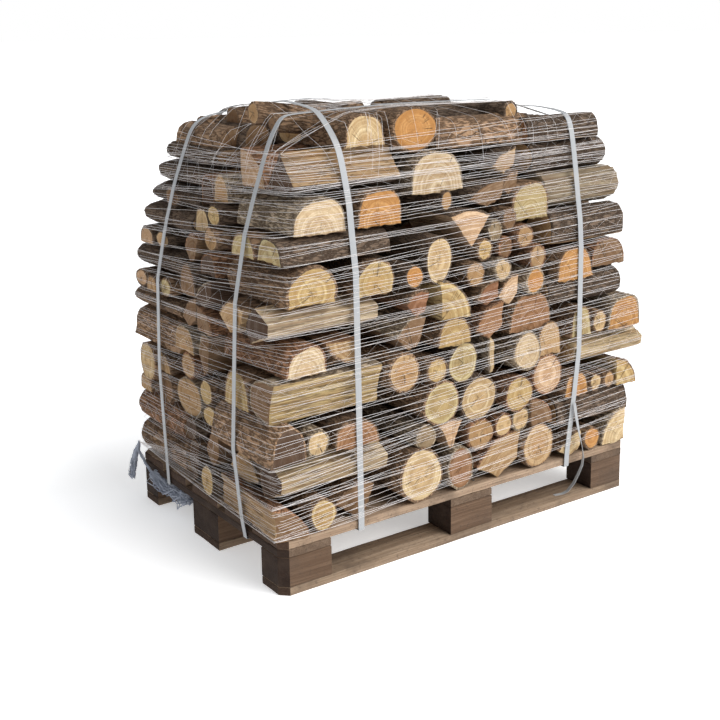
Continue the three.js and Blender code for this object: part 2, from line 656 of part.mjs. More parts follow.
function buildStraps(wrapped, named) {
  const deck = [1, 2, 3, 4, 5].map((i) => named(`deck_board_${i}`));
  const cross = ['left', 'centre', 'right'].map((column) => named(`cross_board_${column}`));
  const crossStraps = [
    ['strap_cross_left', -372, () => -366],
    ['strap_cross_right', 368, (y, z) => {
      const lower = THREE.MathUtils.clamp((460 - z) / 300, 0, 1);
      const front = THREE.MathUtils.clamp((400 - y) / 800, 0, 1);
      return 386 - 36 * lower * front;
    }],
  ].map(([name, middle, middleAt]) => {
    const reach = strapWidth / 2 + 24;
    const taut = tautOutline([...wrapped, ...deck], 'x', middle - reach, middle + reach, 0.5);
    const outline = withPointsBetween(taut, 150);
    const band = bandLoop(outline, 'x', middleAt);
    if (name !== 'strap_cross_right') return addPart(name, band, 'strap');
    return addPart(name, asGeometry(asManifold(band).add(looseEnd())), 'strap');
  });
  for (const [name, middle] of [['strap_long_front', -226], ['strap_long_back', 214]]) {
    const reach = strapWidth / 2 + 3;
    const held = [...wrapped, ...deck, ...cross, ...crossStraps];
    const outline = tautOutline(held, 'y', middle - reach, middle + reach, 0.5);
    addPart(name, bandLoop(outline, 'y', () => middle), 'strap');
  }
}

buildPallet();
buildCornerCrib();
buildMiddles();
buildOtherCribs();
buildTop();
const logs = model.children.filter((part) => /log|stack|crib|layer/.test(part.name));
const net = buildNet(logs);
buildNetTail();
buildStraps([...logs, net], (name) => model.getObjectByName(name));

export default model;
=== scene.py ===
import math
import random
import bpy
import numpy as np
from mathutils import Matrix, Vector

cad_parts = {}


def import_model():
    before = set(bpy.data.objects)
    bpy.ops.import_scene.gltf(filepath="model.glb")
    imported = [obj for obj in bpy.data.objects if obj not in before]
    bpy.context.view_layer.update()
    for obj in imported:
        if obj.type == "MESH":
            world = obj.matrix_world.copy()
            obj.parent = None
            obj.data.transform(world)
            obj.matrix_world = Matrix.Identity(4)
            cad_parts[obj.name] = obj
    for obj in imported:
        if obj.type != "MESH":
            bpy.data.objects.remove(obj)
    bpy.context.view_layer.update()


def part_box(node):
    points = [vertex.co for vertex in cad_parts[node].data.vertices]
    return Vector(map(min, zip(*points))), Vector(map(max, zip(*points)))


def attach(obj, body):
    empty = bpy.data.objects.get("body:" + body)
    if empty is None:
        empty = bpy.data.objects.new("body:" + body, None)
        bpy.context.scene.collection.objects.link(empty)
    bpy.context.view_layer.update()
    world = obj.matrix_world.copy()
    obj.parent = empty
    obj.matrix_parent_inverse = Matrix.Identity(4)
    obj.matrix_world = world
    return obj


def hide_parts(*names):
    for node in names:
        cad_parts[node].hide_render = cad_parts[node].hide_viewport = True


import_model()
print("frame loaded")

scene = bpy.context.scene
scene.view_settings.view_transform = "Standard"
scene.view_settings.look = "None"

# Camera, light and floor
studio = {
    "cameraPlace": (-1.9283, -2.6740, 1.3766),
    "azimuth": -34.66,
    "elevation": 12.11,
    "roll": -0.90,
    "lens": 58.5,
    "shiftY": -0.1222,
    "skyStrength": 0.44,
    "keyPower": 3.65,
    "keyFrom": (0.50, -0.72, 0.78),
    "keySoftness": 55,
    "fillPower": 6,
    "fillPlace": (-3.6, -1.6, 2.8),
    "floorShade": (0.94, 0.94, 0.94, 1),
    "floorGlow": 0.42,
}


def makeCamera():
    data = bpy.data.cameras.new("viewCamera")
    data.lens = studio["lens"]
    data.sensor_width = 36
    data.shift_y = studio["shiftY"]
    data.clip_end = 100
    camera = bpy.data.objects.new("viewCamera", data)
    scene.collection.objects.link(camera)
    turn, rise = math.radians(studio["azimuth"]), math.radians(studio["elevation"])
    back = Vector((math.sin(turn) * math.cos(rise), -math.cos(turn) * math.cos(rise), math.sin(rise)))
    right = Vector((math.cos(turn), math.sin(turn), 0))
    up = back.cross(right)
    axes = Matrix((right, up, back)).transposed().to_4x4()
    roll = Matrix.Rotation(math.radians(studio["roll"]), 4, "Z")
    camera.matrix_world = Matrix.Translation(studio["cameraPlace"]) @ axes @ roll
    scene.camera = camera


def makeLight(name, kind, place, power, size, target=(0, 0, 0.6)):
    data = bpy.data.lights.new(name, kind)
    data.energy = power
    if kind == "SUN":
        data.angle = math.radians(size)
    else:
        data.size = size
    light = bpy.data.objects.new(name, data)
    light.location = place
    light.rotation_euler = (Vector(target) - Vector(place)).to_track_quat("-Z", "Y").to_euler()
    scene.collection.objects.link(light)


def makeStudio():
    makeCamera()
    makeLight("keyLight", "SUN", studio["keyFrom"], studio["keyPower"], studio["keySoftness"], (0, 0, 0))
    makeLight("fillLight", "AREA", studio["fillPlace"], studio["fillPower"], 2.5)
    world = bpy.data.worlds.new("softSky")
    world.use_nodes = True
    tree = world.node_tree
    sky = tree.nodes["Background"]
    sky.inputs["Color"].default_value = (0.93, 0.96, 1, 1)
    sky.inputs["Strength"].default_value = studio["skyStrength"]
    # the backdrop is seen white, while it lights the wood softly
    backdrop = tree.nodes.new("ShaderNodeBackground")
    seen = tree.nodes.new("ShaderNodeLightPath")
    mix = tree.nodes.new("ShaderNodeMixShader")
    tree.links.new(seen.outputs["Is Camera Ray"], mix.inputs[0])
    tree.links.new(sky.outputs[0], mix.inputs[1])
    tree.links.new(backdrop.outputs[0], mix.inputs[2])
    tree.links.new(mix.outputs[0], tree.nodes["World Output"].inputs["Surface"])
    backdrop.inputs["Color"].default_value = (1, 1, 1, 1)
    scene.world = world


makeStudio()
print("studio made")


# Node building
def put(tree, kind, inputs=None, **settings):
    node = tree.nodes.new(kind)
    for name, value in settings.items():
        setattr(node, name, value)
    for key, value in (inputs or {}).items():
        if isinstance(value, bpy.types.NodeSocket):
            tree.links.new(value, node.inputs[key])
        else:
            node.inputs[key].default_value = value
    return node


def calc(tree, operation, a, b=0.5, c=None, clamp=False):
    inputs = {0: a, 1: b} if c is None else {0: a, 1: b, 2: c}
    return put(tree, "ShaderNodeMath", inputs, operation=operation, use_clamp=clamp).outputs[0]


def fade(tree, value, low, high, outLow=0.0, outHigh=1.0):
    inputs = {"Value": value, "From Min": low, "From Max": high, "To Min": outLow, "To Max": outHigh}
    return put(tree, "ShaderNodeMapRange", inputs, interpolation_type="SMOOTHSTEP").outputs[0]


def blend(tree, share, first, second, kind="MIX"):
    node = put(tree, "ShaderNodeMix", {0: share, 6: first, 7: second}, data_type="RGBA", blend_type=kind)
    return node.outputs[2]


def stretched(tree, vector, size):
    return put(tree, "ShaderNodeVectorMath", {0: vector, 1: size}, operation="MULTIPLY").outputs[0]


def noise(tree, vector, scale=1.0, detail=3.0, rough=0.55):
    inputs = {"Vector": vector, "Scale": scale, "Detail": detail, "Roughness": rough}
    return put(tree, "ShaderNodeTexNoise", inputs).outputs["Fac"]


def newGroup(name, inputs, outputs):
    tree = bpy.data.node_groups.new(name, "ShaderNodeTree")
    for label, kind, value in inputs:
        socket = tree.interface.new_socket(label, in_out="INPUT", socket_type=kind)
        if value is not None:
            socket.default_value = value
    for label, kind in outputs:
        tree.interface.new_socket(label, in_out="OUTPUT", socket_type=kind)
    start = tree.nodes.new("NodeGroupInput")
    end = tree.nodes.new("NodeGroupOutput")
    return tree, start.outputs, end.inputs


def makeFibreGroup():
    # long fibres and splinters that run with the log: Streak is fine, Splinter is coarse
    tree, given, wanted = newGroup(
        "woodFibre",
        [("Place", "NodeSocketVector", None), ("Fineness", "NodeSocketFloat", 1.0)],
        [("Streak", "NodeSocketFloat"), ("Splinter", "NodeSocketFloat")],
    )
    place = put(tree, "ShaderNodeVectorMath", {0: given["Place"], "Scale": given["Fineness"]},
                operation="SCALE")
    fine = noise(tree, stretched(tree, place.outputs[0], (420, 420, 9)), detail=4)
    broad = noise(tree, stretched(tree, place.outputs[0], (95, 95, 4)), detail=4, rough=0.6)
    tree.links.new(fade(tree, fine, 0.32, 0.68), wanted["Streak"])
    tree.links.new(fade(tree, broad, 0.36, 0.66), wanted["Splinter"])
    return tree


def makeRingGroup():
    # growth rings round the pith, a darker heart and cracks that run out from it
    tree, given, wanted = newGroup(
        "growthRings",
        [("Place", "NodeSocketVector", None), ("Spacing", "NodeSocketFloat", 0.004),
         ("Heart", "NodeSocketFloat", 0.03)],
        [("Rings", "NodeSocketFloat"), ("Bands", "NodeSocketFloat"), ("Core", "NodeSocketFloat"),
         ("Crack", "NodeSocketFloat")],
    )
    parts = put(tree, "ShaderNodeSeparateXYZ", {0: given["Place"]}).outputs
    flat = put(tree, "ShaderNodeCombineXYZ", {0: parts[0], 1: parts[1]}).outputs[0]
    far = put(tree, "ShaderNodeVectorMath", {0: flat}, operation="LENGTH").outputs["Value"]
    drift = noise(tree, stretched(tree, given["Place"], (26, 26, 9)), detail=2)
    radius = calc(tree, "ADD", far, calc(tree, "MULTIPLY", calc(tree, "SUBTRACT", drift), 0.012))
    turns = calc(tree, "DIVIDE", radius, given["Spacing"])
    ringPlace = put(tree, "ShaderNodeCombineXYZ", {0: turns, 1: parts[2]}).outputs[0]
    rings = noise(tree, ringPlace, detail=1.5)
    bandPlace = put(tree, "ShaderNodeCombineXYZ", {0: calc(tree, "MULTIPLY", turns, 0.34), 1: parts[2],
                                                   2: 4.0}).outputs[0]
    bands = noise(tree, bandPlace, detail=2)
    way = put(tree, "ShaderNodeVectorMath", {0: flat}, operation="NORMALIZE").outputs[0]
    wayParts = put(tree, "ShaderNodeSeparateXYZ", {0: way}).outputs
    wayPlace = put(tree, "ShaderNodeCombineXYZ", {0: wayParts[0], 1: wayParts[1], 2: parts[2]}).outputs[0]
    ridge = calc(tree, "ABSOLUTE", calc(tree, "SUBTRACT", noise(tree, wayPlace, 2.6, 2)))
    width = calc(tree, "DIVIDE", 0.00035, calc(tree, "ADD", far, 0.004))
    crack = calc(tree, "SUBTRACT", 1.0, fade(tree, calc(tree, "DIVIDE", ridge, width), 0.4, 1.0))
    reach = fade(tree, noise(tree, stretched(tree, given["Place"], (40, 40, 11)), detail=1), 0.45, 0.6)
    tree.links.new(fade(tree, rings, 0.40, 0.62), wanted["Rings"])
    tree.links.new(fade(tree, bands, 0.36, 0.64), wanted["Bands"])
    core = fade(tree, calc(tree, "DIVIDE", radius, given["Heart"]), 0.55, 1.0, 1.0, 0.0)
    tree.links.new(core, wanted["Core"])
    tree.links.new(calc(tree, "MULTIPLY", crack, reach), wanted["Crack"])
    return tree


def makeWearGroup():
    # dirt, damp stains and paler rubbed patches
    tree, given, wanted = newGroup(
        "weatherStain",
        [("Place", "NodeSocketVector", None), ("Size", "NodeSocketFloat", 8.0)],
        [("Stain", "NodeSocketFloat"), ("Speck", "NodeSocketFloat")],
    )
    stain = noise(tree, given["Place"], given["Size"], 5, 0.6)
    speck = noise(tree, given["Place"], calc(tree, "MULTIPLY", given["Size"], 18), 2)
    tree.links.new(fade(tree, stain, 0.44, 0.68), wanted["Stain"])
    tree.links.new(fade(tree, speck, 0.58, 0.72), wanted["Speck"])
    return tree


groups = {"fibre": makeFibreGroup(), "rings": makeRingGroup(), "wear": makeWearGroup()}


def use(tree, name, inputs):
    node = tree.nodes.new("ShaderNodeGroup")
    node.node_tree = groups[name]
    for key, value in inputs.items():
        if isinstance(value, bpy.types.NodeSocket):
            tree.links.new(value, node.inputs[key])
        else:
            node.inputs[key].default_value = value
    return node.outputs


def newMaterial(name):
    material = bpy.data.materials.new(name)
    material.use_nodes = True
    tree = material.node_tree
    shader = tree.nodes["Principled BSDF"]
    return material, tree, shader


def finishWith(tree, shader, colour, rough, height, depth, strength):
    tree.links.new(colour, shader.inputs["Base Color"])
    tree.links.new(rough, shader.inputs["Roughness"])
    bump = put(tree, "ShaderNodeBump", {"Height": height, "Distance": depth, "Strength": strength})
    tree.links.new(bump.outputs[0], shader.inputs["Normal"])


def woodInputs(tree):
    place = put(tree, "ShaderNodeAttribute", attribute_name="grainPlace").outputs["Vector"]
    tone = put(tree, "ShaderNodeAttribute", attribute_name="woodColour")
    return place, tone.outputs["Color"], tone.outputs["Alpha"]


def makeEndGrain():
    material, tree, shader = newMaterial("sawnEnd")
    place, tone, heart = woodInputs(tree)
    rings = use(tree, "rings", {"Place": place, "Spacing": 0.0040, "Heart": 0.034})
    wear = use(tree, "wear", {"Place": place, "Size": 16.0})
    deep = blend(tree, 1.0, tone, (0.56, 0.45, 0.34, 1), "MULTIPLY")
    colour = blend(tree, calc(tree, "MULTIPLY", rings["Rings"], 0.55), tone, deep)
    colour = blend(tree, calc(tree, "MULTIPLY", rings["Bands"], 0.72), colour, deep)
    mottle = use(tree, "wear", {"Place": place, "Size": 70.0})
    colour = blend(tree, calc(tree, "MULTIPLY", mottle["Stain"], 0.55), colour, deep)
    warm = blend(tree, 1.0, tone, (0.74, 0.60, 0.46, 1), "MULTIPLY")
    colour = blend(tree, calc(tree, "MULTIPLY", rings["Core"], heart), colour, warm)
    colour = blend(tree, calc(tree, "MULTIPLY", wear["Stain"], 0.34), colour, deep)
    colour = blend(tree, calc(tree, "MULTIPLY", wear["Speck"], 0.45), colour, (0.12, 0.08, 0.05, 1))
    # the cracks are coloured near black: painted shade inside the cracks
    colour = blend(tree, calc(tree, "MULTIPLY", rings["Crack"], 0.9), colour, (0.035, 0.022, 0.014, 1))
    saw = noise(tree, stretched(tree, place, (900, 70, 5)), detail=2)
    height = calc(tree, "MULTIPLY_ADD", rings["Rings"], -0.5, saw)
    height = calc(tree, "SUBTRACT", height, calc(tree, "MULTIPLY", rings["Crack"], 4.0))
    rough = fade(tree, rings["Bands"], 0, 1, 0.72, 0.86)
    finishWith(tree, shader, colour, rough, height, 0.0012, 0.7)
    shader.inputs["Specular IOR Level"].default_value = 0.25
    return material


def makeSplitWood():
    material, tree, shader = newMaterial("splitFace")
    place, tone, _ = woodInputs(tree)
    fibre = use(tree, "fibre", {"Place": place, "Fineness": 1.0})
    wear = use(tree, "wear", {"Place": place, "Size": 11.0})
    deep = blend(tree, 1.0, tone, (0.50, 0.36, 0.25, 1), "MULTIPLY")
    torn = noise(tree, stretched(tree, place, (70, 70, 5)), detail=3, rough=0.65)
    gap = fade(tree, calc(tree, "ABSOLUTE", calc(tree, "SUBTRACT", torn)), 0.0, 0.022, 1.0, 0.0)
    colour = blend(tree, calc(tree, "MULTIPLY", fibre["Streak"], 0.50), tone, deep)
    colour = blend(tree, calc(tree, "MULTIPLY", fibre["Splinter"], 0.66), colour, deep)
    # the torn gaps are coloured dark brown: painted shade inside the gaps
    colour = blend(tree, calc(tree, "MULTIPLY", gap, 0.62), colour, (0.10, 0.065, 0.04, 1))
    colour = blend(tree, calc(tree, "MULTIPLY", wear["Stain"], 0.42), colour, (0.20, 0.14, 0.10, 1))
    height = calc(tree, "MULTIPLY_ADD", fibre["Splinter"], -2.2,
                  calc(tree, "MULTIPLY", fibre["Streak"], -0.7))
    height = calc(tree, "SUBTRACT", height, calc(tree, "MULTIPLY", gap, 1.5))
    rough = fade(tree, fibre["Streak"], 0, 1, 0.66, 0.86)
    finishWith(tree, shader, colour, rough, height, 0.0019, 0.9)
    shader.inputs["Specular IOR Level"].default_value = 0.25
    return material


def makeBark():
    material, tree, shader = newMaterial("barkSkin")
    place, tone, _ = woodInputs(tree)
    wear = use(tree, "wear", {"Place": place, "Size": 9.0})
    ridge = noise(tree, stretched(tree, place, (105, 105, 26)), detail=4, rough=0.6)
    furrow = fade(tree, calc(tree, "ABSOLUTE", calc(tree, "SUBTRACT", ridge)), 0.005, 0.085)
    scaly = noise(tree, stretched(tree, place, (230, 230, 90)), detail=5, rough=0.68)
    dark = blend(tree, 1.0, tone, (0.46, 0.42, 0.39, 1), "MULTIPLY")
    pale = blend(tree, 1.0, tone, (1.55, 1.5, 1.42, 1), "MULTIPLY")
    colour = blend(tree, fade(tree, scaly, 0.30, 0.72), tone, pale)
    colour = blend(tree, furrow, dark, colour)
    colour = blend(tree, calc(tree, "MULTIPLY", wear["Stain"], 0.5), colour, (0.075, 0.05, 0.036, 1))
    colour = blend(tree, calc(tree, "MULTIPLY", wear["Speck"], 0.35), colour, (0.30, 0.27, 0.22, 1))
    height = calc(tree, "MULTIPLY_ADD", furrow, 1.5, scaly)
    rough = fade(tree, scaly, 0.3, 0.7, 0.84, 0.98)
    finishWith(tree, shader, colour, rough, height, 0.0024, 0.85)
    shader.inputs["Specular IOR Level"].default_value = 0.18
    return material


def makePalletWood():
    material, tree, shader = newMaterial("palletTimber")
    place, tone, _ = woodInputs(tree)
    fibre = use(tree, "fibre", {"Place": place, "Fineness": 0.7})
    rings = use(tree, "rings", {"Place": place, "Spacing": 0.005, "Heart": 0.01})
    wear = use(tree, "wear", {"Place": place, "Size": 7.0})
    deep = blend(tree, 1.0, tone, (0.46, 0.40, 0.35, 1), "MULTIPLY")
    colour = blend(tree, calc(tree, "MULTIPLY", rings["Rings"], 0.35), tone, deep)
    colour = blend(tree, calc(tree, "MULTIPLY", fibre["Streak"], 0.55), colour, deep)
    colour = blend(tree, calc(tree, "MULTIPLY", fibre["Splinter"], 0.45), colour, deep)
    colour = blend(tree, calc(tree, "MULTIPLY", wear["Stain"], 0.60), colour, (0.085, 0.060, 0.045, 1))
    colour = blend(tree, calc(tree, "MULTIPLY", wear["Speck"], 0.4), colour, (0.05, 0.036, 0.028, 1))
    height = calc(tree, "MULTIPLY_ADD", fibre["Splinter"], -1.6,
                  calc(tree, "MULTIPLY", fibre["Streak"], -1.0))
    rough = fade(tree, wear["Stain"], 0, 1, 0.80, 0.94)
    finishWith(tree, shader, colour, rough, height, 0.0010, 0.8)
    shader.inputs["Specular IOR Level"].default_value = 0.2
    return material


def makeStrapBand():
    material, tree, shader = newMaterial("strapBand")
    place = put(tree, "ShaderNodeAttribute", attribute_name="bandPlace").outputs["Vector"]
    wear = use(tree, "wear", {"Place": place, "Size": 14.0})
    ribs = put(tree, "ShaderNodeTexWave", {"Vector": stretched(tree, place, (1, 0, 0)), "Scale": 190.0,
                                          "Distortion": 0.4, "Detail": 1.0},
                                          bands_direction="X").outputs["Fac"]
    weave = put(tree, "ShaderNodeTexWave", {"Vector": stretched(tree, place, (0, 1, 0)), "Scale": 110.0,
                                           "Distortion": 0.6, "Detail": 1.0},
                                           bands_direction="Y").outputs["Fac"]
    colour = blend(tree, calc(tree, "MULTIPLY", ribs, 0.35), (0.36, 0.37, 0.38, 1), (0.20, 0.21, 0.22, 1))
    colour = blend(tree, calc(tree, "MULTIPLY", wear["Stain"], 0.35), colour, (0.40, 0.39, 0.37, 1))
    height = calc(tree, "MULTIPLY_ADD", weave, 0.5, ribs)
    rough = fade(tree, wear["Stain"], 0, 1, 0.34, 0.55)
    finishWith(tree, shader, colour, rough, height, 0.0003, 0.6)
    shader.inputs["Sheen Weight"].default_value = 0.15
    return material


def makeNetThread(name, light, dull):
    material, tree, shader = newMaterial(name)
    place = put(tree, "ShaderNodeAttribute", attribute_name="bandPlace").outputs["Vector"]
    wear = use(tree, "wear", {"Place": place, "Size": 5.0})
    twist = noise(tree, stretched(tree, place, (1, 400, 1)), detail=1)
    colour = blend(tree, wear["Stain"], light, dull)
    rough = fade(tree, wear["Stain"], 0, 1, 0.40, 0.6)
    finishWith(tree, shader, colour, rough, twist, 0.0002, 0.4)
    return material


def makeNailSteel():
    material, tree, shader = newMaterial("nailSteel")
    place = woodInputs(tree)[0]
    wear = use(tree, "wear", {"Place": place, "Size": 60.0})
    colour = blend(tree, wear["Stain"], (0.28, 0.27, 0.26, 1), (0.16, 0.075, 0.035, 1))
    rough = fade(tree, wear["Stain"], 0, 1, 0.42, 0.85)
    tree.links.new(fade(tree, wear["Stain"], 0, 1, 0.9, 0.1), shader.inputs["Metallic"])
    finishWith(tree, shader, colour, rough, wear["Speck"], 0.0002, 0.5)
    return material


def makeFloorMaterial():
    material, tree, shader = newMaterial("paleFloor")
    place = put(tree, "ShaderNodeNewGeometry").outputs["Position"]
    grain = noise(tree, place, 3.0, 2)
    colour = blend(tree, grain, studio["floorShade"], (0.97, 0.97, 0.97, 1))
    finishWith(tree, shader, colour, fade(tree, grain, 0, 1, 0.85, 0.95), grain, 0.0002, 0.1)
    tree.links.new(colour, shader.inputs["Emission Color"])
    shader.inputs["Emission Strength"].default_value = studio["floorGlow"]
    return material


materials = {
    "end": makeEndGrain(), "split": makeSplitWood(), "bark": makeBark(), "pallet": makePalletWood(),
    "strap": makeStrapBand(), "net": makeNetThread("netThread", (0.80, 0.77, 0.76, 1), (0.62, 0.56, 0.52, 1)),
    # the gathered net end uses the same thread made darker and bluer: painted shade for the bunch that hangs
    # in shadow low on the left side
    "gathered": makeNetThread("gatheredNet", (0.42, 0.45, 0.52, 1), (0.14, 0.16, 0.22, 1)),
    "nail": makeNailSteel(), "floor": makeFloorMaterial(),
}
print("materials made")


def makeFloor():
    half = 120.0
    mesh = bpy.data.meshes.new("floor")
    mesh.from_pydata([(-half, -half, 0), (half, -half, 0), (half, half, 0), (-half, half, 0)], [],
                     [(0, 1, 2, 3)])
    mesh.materials.append(materials["floor"])
    floor = bpy.data.objects.new("floor", mesh)
    floor.location.z = -0.0005
    scene.collection.objects.link(floor)


makeFloor()


# Mesh gathering
def toLinear(shade):
    return tuple((c / 12.92) if c <= 0.04045 else ((c + 0.055) / 1.055) ** 2.4 for c in shade)


class MeshGatherer:
    # collects vertices, faces and their grain places and colours for one piece
    def __init__(self):
        self.points, self.faces, self.slots, self.places, self.colours = [], [], [], [], []
        self.count = 0

    def add(self, points, faces, slots, places, colours):
        self.points.append(np.asarray(points, float))
        self.places.append(np.asarray(places, float))
        self.faces.extend([tuple(i + self.count for i in face) for face in faces])
        self.slots.extend(slots)
        self.colours.extend(colours)
        self.count += len(points)

    def allPoints(self):
        return np.concatenate(self.points)

    def build(self, name, materialNames, placeName="grainPlace", sharpAngle=38):
        mesh = bpy.data.meshes.new(name)
        mesh.from_pydata(self.allPoints().tolist(), [], self.faces)
        for key in materialNames:
            mesh.materials.append(materials[key])
        mesh.polygons.foreach_set("material_index", self.slots)
        mesh.polygons.foreach_set("use_smooth", [True] * len(self.faces))
        place = mesh.attributes.new(placeName, "FLOAT_VECTOR", "POINT")
        place.data.foreach_set("vector", np.concatenate(self.places).ravel())
        if self.colours:
            sizes = [len(face) for face in self.faces]
            spread = np.repeat(np.asarray(self.colours, float), sizes, axis=0)
            colour = mesh.attributes.new("woodColour", "FLOAT_COLOR", "CORNER")
            colour.data.foreach_set("color", spread.ravel())
        mesh.set_sharp_from_angle(angle=math.radians(sharpAngle))
        piece = bpy.data.objects.new(name, mesh)
        scene.collection.objects.link(piece)
        return piece


def settle(piece, nodes):
    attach(piece, "root")
    if nodes:
        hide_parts(*nodes)
    return piece


# Logs
woodTones = {
    "cream": (0.84, 0.77, 0.65), "pale": (0.82, 0.74, 0.59), "yellow": (0.78, 0.69, 0.50),
    "green": (0.76, 0.70, 0.53), "tan": (0.73, 0.62, 0.47), "pink": (0.80, 0.69, 0.57),
    "orange": (0.78, 0.60, 0.38), "rust": (0.62, 0.48, 0.36), "red": (0.58, 0.42, 0.31),
    "brown": (0.54, 0.44, 0.34), "grey": (0.62, 0.57, 0.48), "dark": (0.36, 0.29, 0.24),
}
barkTones = {
    "umber": (0.53, 0.43, 0.34), "ash": (0.60, 0.54, 0.46), "russet": (0.55, 0.41, 0.31),
    "moss": (0.47, 0.45, 0.32), "night": (0.39, 0.33, 0.28),
}
# sweep of the round side, which way it faces, and how much of the middle is split away
cutShapes = {
    "round": (360, 90, 0), "peeled": (360, 90, 0), "half": (180, 90, 0), "deep": (232, 90, 0),
    "halfBack": (176, 172, 0), "halfOut": (180, 184, 0),
    "quarter": (92, 45, 0), "quarterLeft": (92, 135, 0), "quarterDown": (92, 225, 0), "ridge": (72, -90, 0),
    "wedgeUp": (60, 90, 0), "split": (80, 104, 0.34), "splitBack": (84, 176, 0.30), "plank": (26, 180, 0.7),
    "slab": (70, 118, 0.45),
}
logMake = {
    "outlinePoints": 34,
    "sections": 9,
    "barkThickness": 0.0048,
    "barkDepth": 0.0016,
    "splinterDepth": 0.0032,
    "fullness": 2.7,
    "bend": 0.003,
    "packing": 1.07,
}
pull = {"left": 150, "right": 125, "front": 75, "back": 110}


def inset(side, z):
    return pull[side] * max(0.0, (z - 650) / 500) ** 1.6


def wobble(i, size):
    return size * math.sin(2.4 * i + 0.7)


def logOutline(cut, rng):
    sweep, turn, inner = cutShapes[cut]
    count = logMake["outlinePoints"]
    waves = [(k, rng.uniform(0.25, 1.0) * a, rng.uniform(0, 6.28))
             for k, a in ((2, 0.05), (3, 0.03), (5, 0.014), (7, 0.010))]
    full = logMake["fullness"] if 170 < sweep < 200 else 2

    def reach(angle):
        square = (abs(math.cos(angle)) ** full + abs(math.sin(angle)) ** full) ** (-1 / full)
        return square * (1 + sum(a * math.cos(k * angle + p) for k, a, p in waves))

    if cut in ("round", "peeled"):
        angles = [2 * math.pi * i / count for i in range(count)]
        return [(reach(a) * math.cos(a), reach(a) * math.sin(a), cut == "round") for a in angles]
    half = math.radians(sweep) / 2
    arcLength, flatLength = 2 * half, 2 * (1 - inner) + (2 * inner * math.sin(half) if inner else 0)
    arcCount = max(5, round(count * arcLength / (arcLength + flatLength)))
    points = []
    for i in range(arcCount):
        angle = -half + 2 * half * i / (arcCount - 1)
        points.append((reach(angle) * math.cos(angle), reach(angle) * math.sin(angle), 0 < i < arcCount - 1))
    corners = [points[-1][:2]]
    if inner:
        corners += [(inner * math.cos(half), inner * math.sin(half)),
                    (inner * math.cos(half), -inner * math.sin(half))]
    elif sweep < 170:
        corners += [(0.02, 0.0)]
    corners.append(points[0][:2])
    flatCount = count - arcCount
    lengths = [math.dist(corners[i], corners[i + 1]) for i in range(len(corners) - 1)]
    for i, length in enumerate(lengths):
        steps = max(2, round(flatCount * length / sum(lengths)))
        (ax, ay), (bx, by) = corners[i], corners[i + 1]
        bow = rng.uniform(-0.035, 0.035)
        for s in range(1, steps + (i < len(lengths) - 1)):
            t = s / steps
            push = bow * math.sin(math.pi * t) if s < steps else 0
            points.append((ax + (bx - ax) * t + (by - ay) * push, ay + (by - ay) * t - (bx - ax) * push,
                           False))
    c, s = math.cos(math.radians(turn)), math.sin(math.radians(turn))
    return [(x * c - y * s, x * s + y * c, arc) for x, y, arc in points]


def smoothNoise(rng, rows, columns):
    rough = rng.normal(size=(rows, columns))
    around = np.roll(rough, 1, 1) + np.roll(rough, -1, 1)
    mixed = rough * 0.7 + around * 0.3
    low = np.cumsum(rng.normal(size=(rows, columns)) * 0.35, axis=0)
    return mixed * 0.45 + low * 0.5 + rng.normal(size=(1, columns)) * 0.7


